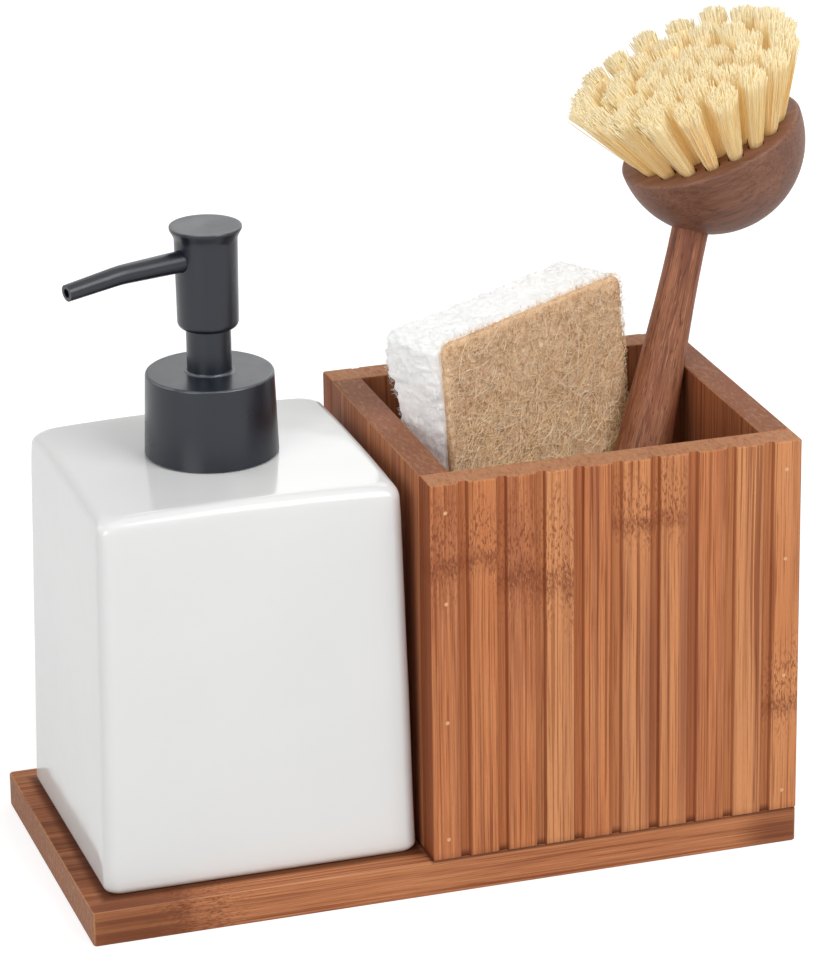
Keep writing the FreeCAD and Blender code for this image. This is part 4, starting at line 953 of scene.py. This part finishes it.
def settle(point):
    """The block's upright edges are soft at the corners, and it stands fuller and a little to the
    right above the caddy's rim."""
    x, z = point.x, point.z
    for low_x in (True, False):
        for low_z in (True, False):
            over_x = CORNER_SOFTNESS - (x if low_x else SPONGE_WIDTH - x)
            over_z = CORNER_SOFTNESS - (z if low_z else SPONGE_HEIGHT - z)
            if over_x > 0 and over_z > 0:
                share = max(over_x, over_z) / math.hypot(over_x, over_z)
                shift_x = over_x * (1 - share)
                shift_z = over_z * (1 - share)
                x += shift_x if low_x else -shift_x
                z += shift_z if low_z else -shift_z
    shift = (1.7 + 1.9 * x / SPONGE_WIDTH) * MM * eased((z - SHIFT_FROM) / SHIFT_RUN)
    loose = eased((z - LOOSE_FROM) / LOOSE_RUN)
    behind = max(0, (point.y - PAD_DEPTH) / SPONGE_DEPTH)
    beside = max(0, 1 - x / (20 * MM)) * min(1, behind * 3)
    return Vector((x + shift - 2.2 * MM * beside * loose, point.y + 2.7 * MM * behind * loose, z))


def place_sponge_piece(piece, origin, material, relief, glued):
    """Roughens a block by its relief, hardly where it is glued, and stands it in the caddy."""
    normals = [v.normal.copy() for v in piece.data.vertices]
    for vertex, normal in zip(piece.data.vertices, normals):
        point = vertex.co
        vertex.co = point + normal * (relief(point) * (GLUED_SHARE if glued(point) else 1))
    for vertex in piece.data.vertices:
        vertex.co = settle(vertex.co)
    piece.data.transform(Matrix.Translation(origin) @ SPONGE_TURN.to_4x4())
    piece.data.materials.clear()
    piece.data.materials.append(material)
    piece.data.polygons.foreach_set("use_smooth", [True] * len(piece.data.polygons))
    piece.data.update()
    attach(piece, "sponge")


def make_sponge(origin):
    """Soft white cellulose with a lumpy, torn skin."""
    inset = SPONGE_BACK_INSET
    low = Vector((inset, PAD_DEPTH, inset))
    high = Vector((SPONGE_WIDTH - inset, PAD_DEPTH + SPONGE_DEPTH - inset, SPONGE_HEIGHT - inset))

    def torn(point):
        lumps = waves(point, (120, 0.6), (330, 0.7), (760, 0.9))
        return min((lumps - pore_depth(point) * 0.35) * MM, inset)

    def glued(point):
        return point.y < PAD_DEPTH + 0.5 * MM

    piece = remeshed_block("sponge_cellulose", low, high, SPONGE_ROUNDING, SPONGE_VOXEL)
    place_sponge_piece(piece, origin, cellulose("cellulose_finish"), torn, glued)
    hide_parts("sponge_body")


def make_pad(origin):
    """The matted coconut fibre slab behind the loose fibres."""
    inset = PAD_INSET
    low = Vector((inset, inset, inset))
    high = Vector((SPONGE_WIDTH - inset, PAD_DEPTH, SPONGE_HEIGHT - inset))

    def matted(point):
        return min(waves(point, (120, 0.35), (300, 0.3), (800, 0.45)) * 0.5, 0.4) * MM

    def glued(point):
        return point.y > PAD_DEPTH - 0.4 * MM

    piece = remeshed_block("coir_pad", low, high, PAD_ROUNDING, PAD_VOXEL)
    place_sponge_piece(piece, origin, felted_coir(origin), matted, glued)
    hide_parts("scouring_pad")


def any_way(vary, reach):
    return Vector([vary(-reach, reach) for _ in range(3)])


def make_sponge_threads(origin):
    """Short torn cellulose threads that stand off the sponge's cut faces."""
    draws = random.Random(31)
    vary = draws.uniform
    skin = Skin()
    margin = 0.5 * MM
    sunk = 0.4 * MM
    far = PAD_DEPTH + SPONGE_DEPTH
    for _ in range(THREADS):
        pick = draws.random()
        x = vary(margin, SPONGE_WIDTH - margin)
        y = vary(PAD_DEPTH + sunk, far - margin)
        z = vary(THREADS_FROM, SPONGE_HEIGHT - margin)
        if pick < 0.4:
            point, outward = Vector((sunk, y, z)), Vector((-1, 0, 0))
        elif pick < 0.72:
            point, outward = Vector((x, y, SPONGE_HEIGHT - sunk)), Vector((0, 0, 1))
        elif pick < 0.84:
            point, outward = Vector((x, far - sunk, z)), Vector((0, 1, 0))
        else:
            point, outward = Vector((SPONGE_WIDTH - sunk, y, z)), Vector((1, 0, 0))
        heading = (outward * 0.75 + any_way(vary, 1)).normalized()
        length = vary(0.6, 1.7) * MM
        points = [settle(point)]
        for _ in range(3):
            heading = (heading + any_way(vary, 0.5)).normalized()
            point = point + heading * length / 3
            points.append(settle(point))
        points = [origin + SPONGE_TURN @ p for p in points]
        skin.add(strand(points, vary(0.035, 0.075) * MM, 0.5))
    piece = new_piece("sponge_threads", skin, cellulose("cellulose_thread_finish"))
    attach(piece, "sponge")


# The pad's loose fibres

FIBRE_MARGIN = 0.6 * MM
SHORT_FIBRES = 7600
FRAYED_FIBRES = 1100
FRAYED_FROM = 60 * MM
LONG_FIBRES = 560
# steps, then the ranges of length, bend, lift and arch
SHORT_CURL = (6, (1.8, 6), (-0.65, 0.65), (-0.3, 0.2), (-0.4, 0.15))
LONG_CURL = (14, (7, 24), (-0.26, 0.26), (-0.35, -0.1), (-0.35, 0.1))
EDGES = ("right", "top", "right", "top", "left")
# the brush's handle is close below this height
HANDLE_CLEAR = 115 * MM
HANDLE_FRAY = 0.9 * MM


def make_fibre_piece(name, origin, runs, finish):
    """One piece of many strands, each given by points in the pad's own axes and a radius."""
    skin = Skin()
    for points, radius in runs:
        skin.add(strand([origin + SPONGE_TURN @ settle(point) for point in points], radius, 0.7))
    piece = new_piece(name, skin, finish)
    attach(piece, "sponge")


def held_in(points):
    """The same line, moved over the pad's own face and out of its depth."""
    shifts = []
    for axis, limit in ((0, SPONGE_WIDTH), (2, SPONGE_HEIGHT)):
        low = min(point[axis] for point in points)
        high = max(point[axis] for point in points)
        shifts.append(max(FIBRE_MARGIN - low, 0) - max(high - limit + FIBRE_MARGIN, 0))
    return [
        Vector((p.x + shifts[0], held(p.y, -0.8 * MM, PAD_DEPTH), p.z + shifts[1])) for p in points
    ]


def curl_points(vary, start, steps, lengths, bends, lifts, arches):
    """A curling line over the pad's face, lifted a little off it. Lengths, lifts and arches are
    ranges in millimetres, and bends is one in radians to a step."""
    length = vary(*lengths) * MM
    bend = vary(*bends)
    lift = vary(*lifts) * MM
    arch = vary(*arches) * MM
    heading = vary(0, 2 * math.pi)
    point = start.copy()
    points = []
    for step in range(steps + 1):
        off = start.y + lift + arch * math.sin(step / steps * math.pi)
        points.append(Vector((point.x, off, point.z)))
        heading += bend + vary(-0.25, 0.25)
        point.x += math.cos(heading) * length / steps
        point.z += math.sin(heading) * length / steps
    return held_in(points)


def frayed_points(vary, start, outward, length):
    """A short fibre that leaves a cut edge: outward is the edge's own direction in the X, Z plane."""
    heading = outward + vary(-1.1, 1.1)
    bend = vary(-0.45, 0.45)
    point = start.copy()
    points = [point.copy()]
    for _ in range(5):
        point.x += math.cos(heading) * length / 5
        point.z += math.sin(heading) * length / 5
        point.y += vary(-0.08, 0.08) * length
        heading += bend
        points.append(point.copy())
    for point in points:
        point.y = held(point.y, 0, PAD_DEPTH)
    return points


def make_pad_fibres(origin):
    """Loose coconut fibres that curl over the pad's face and its cut edges."""
    draws = random.Random(23)
    vary = draws.uniform
    margin = FIBRE_MARGIN
    short_runs = []
    for number in range(SHORT_FIBRES):
        low = 0 if number % 5 == 0 else 0.42
        x = vary(margin, SPONGE_WIDTH - margin)
        z = vary(low * SPONGE_HEIGHT + margin, SPONGE_HEIGHT - margin)
        start = Vector((x, 0.2 * MM, z))
        # few loose fibres lie by the left and the top edge
        if draws.random() > min(start.x, SPONGE_HEIGHT - start.z) / (4 * MM):
            continue
        points = curl_points(vary, start, *SHORT_CURL)
        short_runs.append((points, vary(0.05, 0.1) * MM))
    for number in range(FRAYED_FIBRES):
        height = vary(FRAYED_FROM, SPONGE_HEIGHT - 1 * MM)
        depth = vary(0.2, 2.8) * MM
        edge = EDGES[number % len(EDGES)]
        length = draws.triangular(0.5, 2.6, 1) * MM
        if edge == "left":
            start, outward, length = Vector((0.3 * MM, depth, height)), math.pi, length * 0.5
        elif edge == "right":
            start, outward = Vector((SPONGE_WIDTH - 0.3 * MM, depth, height)), 0
            if height < HANDLE_CLEAR:
                length = min(length, HANDLE_FRAY)
        else:
            across = vary(0.5 * MM, SPONGE_WIDTH - 0.5 * MM)
            start, outward = Vector((across, depth, SPONGE_HEIGHT - 0.3 * MM)), QUARTER
        points = frayed_points(vary, start, outward, length)
        short_runs.append((points, vary(0.04, 0.07) * MM))
    stops = tones(
        (0.08, 156, 117, 84), (0.3, 226, 189, 149), (0.6, 252, 227, 192), (0.9, 255, 246, 228)
    )
    # the last number is the fibres' painted glow
    finish = fibre("coconut_fibre_finish", stops, 0.6, 0.2, 0.06)
    middle = SPONGE_WIDTH / 2
    left_runs = [run for run in short_runs if run[0][0].x < middle]
    right_runs = [run for run in short_runs if run[0][0].x >= middle]
    make_fibre_piece("coir_fibres_left", origin, left_runs, finish)
    make_fibre_piece("coir_fibres_right", origin, right_runs, finish)
    long_runs = []
    for _ in range(LONG_FIBRES):
        x = vary(4 * MM, SPONGE_WIDTH - 4 * MM)
        start = Vector((x, 0, draws.triangular(0.4, 0.97, 0.66) * SPONGE_HEIGHT))
        points = curl_points(vary, start, *LONG_CURL)
        long_runs.append((points, vary(0.07, 0.13) * MM))
    stops = tones((0.1, 236, 196, 148), (0.4, 250, 224, 184), (0.9, 255, 244, 222))
    # the last number is the fibres' painted glow
    finish = fibre("coconut_long_fibre_finish", stops, 0.5, 0.3, 0.08)
    make_fibre_piece("coir_long_fibres", origin, long_runs, finish)


# Each node's finish

RIB_PITCH = 11.9 * MM
# each strip of the ribbed panels ends at a channel's left edge
RIB_EDGE = (FRONT_LOW.x + FRONT_HIGH.x) / 2 - RIB_PITCH * 4 - 1.8 * MM
SIDE_STRIP = 14.3 * MM
TRAY_STRIP = 17 * MM
# a centre and a half width in ribs, a height over the rim and a half height in millimetres
FRONT_KNUCKLES = [
    (-0.5, 0.5, -26, 6),
    (0.5, 0.5, -25, 4.5),
    (1.5, 0.5, -32, 7),
    (2.5, 0.5, -35, 7),
    (5, 1, -20, 4),
    (8.5, 0.5, -85, 4.5),
]
FRONT_SMUDGES = [(5, 0.45, -70, 70), (6.05, 0.35, -60, 90)]
REAR_KNUCKLES = [(2.5, 1, -74, 5), (7.5, 1, -40, 4)]
# the same all in millimetres: the end panels' over the rim, and the tray's along it
SIDE_KNUCKLES = [(-22, 9, -52, 5), (15, 12, -84, 5)]
# the end panels are greyer and darker all over: partly their own tone, partly painted shade of the gap
# beside the bottle
SIDE_GREY_AND_SHADE = [(0, 90, -60, 160)]
TRAY_KNUCKLES = [(-48, 8, -84, 5), (-20, 12, 30, 5), (30, 12, -40, 5)]
TRAY_SMUDGES = [(-50, 8, 104, 16), (-52, 9, -98, 30), (-10, 60, -116, 22)]
CHARCOAL = srgb(18, 24, 34)
STEEL = (0.62, 0.62, 0.61)
HANDLE_TONES = tones(
    (0.34, 112, 62, 44), (0.47, 142, 86, 60), (0.58, 164, 108, 78), (0.72, 192, 142, 108)
)
WALNUT_TONES = tones(
    (0.34, 112, 75, 59), (0.48, 128, 88, 70), (0.6, 142, 100, 80), (0.74, 158, 114, 92)
)


def dress(material, *nodes):
    """Gives carried-over parts their finish."""
    for node in nodes:
        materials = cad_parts[node].data.materials
        materials.clear()
        materials.append(material)


def in_place(rows, start=0, pitch=MM, rim=0):
    """Marks as soft_patches takes them."""
    return [
        (start + pitch * centre, pitch * half, rim + height * MM, reach * MM)
        for centre, half, height, reach in rows
    ]


def dress_caddy():
    rim = FRONT_HIGH.z
    front_knuckles, front_smudges, rear_knuckles = [
        in_place(rows, RIB_EDGE, RIB_PITCH, rim)
        for rows in (FRONT_KNUCKLES, FRONT_SMUDGES, REAR_KNUCKLES)
    ]
    ribs = (2, RIB_PITCH, RIB_EDGE)
    channel = (FRONT_LOW.y, 1)
    front = bamboo(
        "bamboo_front", *ribs, 3, front_knuckles, front_smudges, channel, inside=(1, 1)
    )
    channel = (REAR_FACE, -1)
    rear = bamboo("bamboo_rear", *ribs, 11, rear_knuckles, (), channel, inside=(1, -1))
    for side, offset, seed, way in (("left", 1 * MM, 5, 1), ("right", 3 * MM, 8, -1)):
        marks = in_place(SIDE_KNUCKLES, rim=rim), in_place(SIDE_GREY_AND_SHADE, rim=rim)
        inside = (0, way)
        panel = bamboo(
            f"bamboo_{side}", 2, SIDE_STRIP, offset, seed, *marks, end=END_GREY, inside=inside
        )
        dress(panel, f"box_{side}_panel")
    # the bottle's and the caddy's outlines, for painted contact shadow lines on the tray
    feet = [
        (BOTTLE_LOW.xy, BOTTLE_HIGH.xy, 6 * MM, 2.8 * MM),
        (FRONT_LOW.xy, Vector((FRONT_HIGH.x, REAR_FACE)), 1 * MM, 1.3 * MM),
    ]
    marks = in_place(TRAY_KNUCKLES), in_place(TRAY_SMUDGES)
    wear_and_painted_light = {"end": END_TRAY, "dull": 0.5, "feet": feet, "smudge": TRAY_SMUDGE}
    tray = bamboo("bamboo_tray", 0, TRAY_STRIP, -6 * MM, 2, *marks, **wear_and_painted_light)
    dress(front, "box_front_panel")
    dress(rear, "box_rear_panel")
    dress(tray, "tray")
    dress(pale_filler(), "panel_brads")


def dress_pump():
    coat = (CHARCOAL, 0.31, 0.02 * MM, 3200, 0.08)
    dress(moulded("charcoal_coat_finish", *coat, wear_and_painted_light=0.7), "collar_cover", "head_shell")
    dress(moulded("charcoal_spout_finish", *coat), "spout")
    dark = moulded("dark_plastic_finish", srgb(40, 42, 44), 0.5)
    dress(dark, "threaded_closure", "piston", "stem", "actuator_core")
    white = moulded("white_plastic_finish", srgb(226, 227, 226), 0.45, tint=0.03)
    dress(white, "neck_sleeve", "pump_housing", "retaining_ring")
    dress(moulded("clear_plastic_finish", srgb(214, 220, 221), 0.3, tint=0.03), "dip_tube")
    dress(moulded("seal_rubber_finish", srgb(70, 70, 70), 0.7), "neck_gasket")
    dress(metal("steel_finish", STEEL, 0.22), "inlet_ball", "return_spring")


def dress_brush():
    along = HANDLE_DIRECTION.to_track_quat("X", "Z").to_matrix()
    pore = srgb(84, 46, 34)
    wood = turned_wood("handle_wood_finish", along, HANDLE_TONES, pore, 230, 0.5, 0.7)
    dress(wood, "brush_handle")
    grain_way = BOWL_NORMAL.cross(Vector((-0.4, -0.9, 0.2))).normalized()
    along = grain_way.to_track_quat("X", "Z").to_matrix()
    pore = srgb(86, 54, 42)
    dress(turned_wood("walnut_finish", along, WALNUT_TONES, pore, 240, 0.46, 0.3), "brush_head")


# Camera, floor and light: angles are azimuth and elevation in degrees

CAMERA_PLACE = Vector((-0.389, -1.245, 0.608))
CAMERA_AZIMUTH = -17.58
CAMERA_ELEVATION = 20.80
CAMERA_ROLL = math.radians(-0.81)
FOCAL_PIXELS = 4659
PICTURE_HEIGHT = 960
SENSOR = 36
NEAREST = 10 * MM
FURTHEST = 50
FLOOR_HALF = 12
FLOOR_COLOUR = (0.55, 0.55, 0.55, 1)
FLOOR_GLOW = 0.7
FLOOR_LIT_TO = 0.35
FLOOR_WHITE_FROM = 1.4
AMBIENT = 0.2
LAMP_TARGET = Vector((0, 0, 0.1))
# azimuth, elevation, distance, width and power
LAMPS = {
    "key": (30, 38, 1.5, 0.9, 13),
    "left_front": (-50, 20, 1.8, 1, 12.3),
    "left_rear": (-110, 30, 1.8, 1, 4.6),
    "rear": (150, 35, 1.8, 1, 5),
    "top": (0, 80, 1.6, 1.2, 2.8),
}


def away_from(azimuth, elevation):
    """The direction out to an azimuth, from the front towards +X, and an elevation."""
    a = math.radians(azimuth)
    e = math.radians(elevation)
    return Vector((math.sin(a) * math.cos(e), -math.cos(a) * math.cos(e), math.sin(e)))


def make_camera():
    data = bpy.data.cameras.new("camera")
    camera = link(bpy.data.objects.new("camera", data))
    data.sensor_width = SENSOR
    data.lens = FOCAL_PIXELS / PICTURE_HEIGHT * SENSOR
    data.clip_start = NEAREST
    data.clip_end = FURTHEST
    back = away_from(CAMERA_AZIMUTH, CAMERA_ELEVATION)
    right = UP.cross(back).normalized()
    up = back.cross(right)
    rolled_right = right * math.cos(CAMERA_ROLL) + up * math.sin(CAMERA_ROLL)
    rolled_up = up * math.cos(CAMERA_ROLL) - right * math.sin(CAMERA_ROLL)
    turn = Matrix((rolled_right, rolled_up, back)).transposed().to_4x4()
    camera.matrix_world = Matrix.Translation(CAMERA_PLACE) @ turn
    bpy.context.scene.camera = camera


def make_floor():
    """A wide pale floor. It is white to the camera and keeps the object's soft shadow."""
    half = FLOOR_HALF
    sheet = Skin()
    sheet.vertices = [(-half, -half, 0), (half, -half, 0), (half, half, 0), (-half, half, 0)]
    sheet.faces = [(0, 1, 2, 3)]
    look = Shader("floor_finish")
    # the lamps light the floor by the object only, so it glows more further out
    away = look.wire("VectorMath", {"operation": "LENGTH"}, {0: look.place}, "Value")
    glow = look.seen() * look.fit(away, FLOOR_LIT_TO, FLOOR_WHITE_FROM, FLOOR_GLOW, 1)
    paper = look.wire("BsdfDiffuse", None, {"Color": FLOOR_COLOUR})
    light = look.wire("Emission", None, {"Color": WHITE, "Strength": glow})
    finish = look.close(look.make("AddShader", None, {0: paper, 1: light}))
    new_piece("floor", sheet, finish, False)


def make_world():
    """White wherever it is seen, and a faint light besides."""
    world = bpy.data.worlds.new("studio")
    bpy.context.scene.world = world
    world.use_nodes = True
    nodes = Nodes(world.node_tree)
    strength = nodes.fit(nodes.seen(), 0, 1, AMBIENT, 1, False)
    inputs = {"Color": WHITE, "Strength": strength}
    background = nodes.wire("Background", None, inputs)
    nodes.make("OutputWorld", None, {"Surface": background})


def make_lamps():
    for name, (azimuth, elevation, distance, width, power) in LAMPS.items():
        data = bpy.data.lights.new(name, "AREA")
        data.shape = "SQUARE"
        data.size = width
        data.energy = power
        lamp = link(bpy.data.objects.new(name, data))
        away = away_from(azimuth, elevation)
        lamp.location = LAMP_TARGET + away * distance
        lamp.rotation_mode = "QUATERNION"
        lamp.rotation_quaternion = away.to_track_quat("Z", "Y")


bpy.context.scene.view_settings.view_transform = "Standard"
make_camera()
make_world()
make_lamps()
make_floor()
dress_caddy()
dress_pump()
dress_brush()
make_bottle()
make_bristles()
corner = sponge_corner()
make_sponge(corner)
make_pad(corner)
make_pad_fibres(corner)
make_sponge_threads(corner)
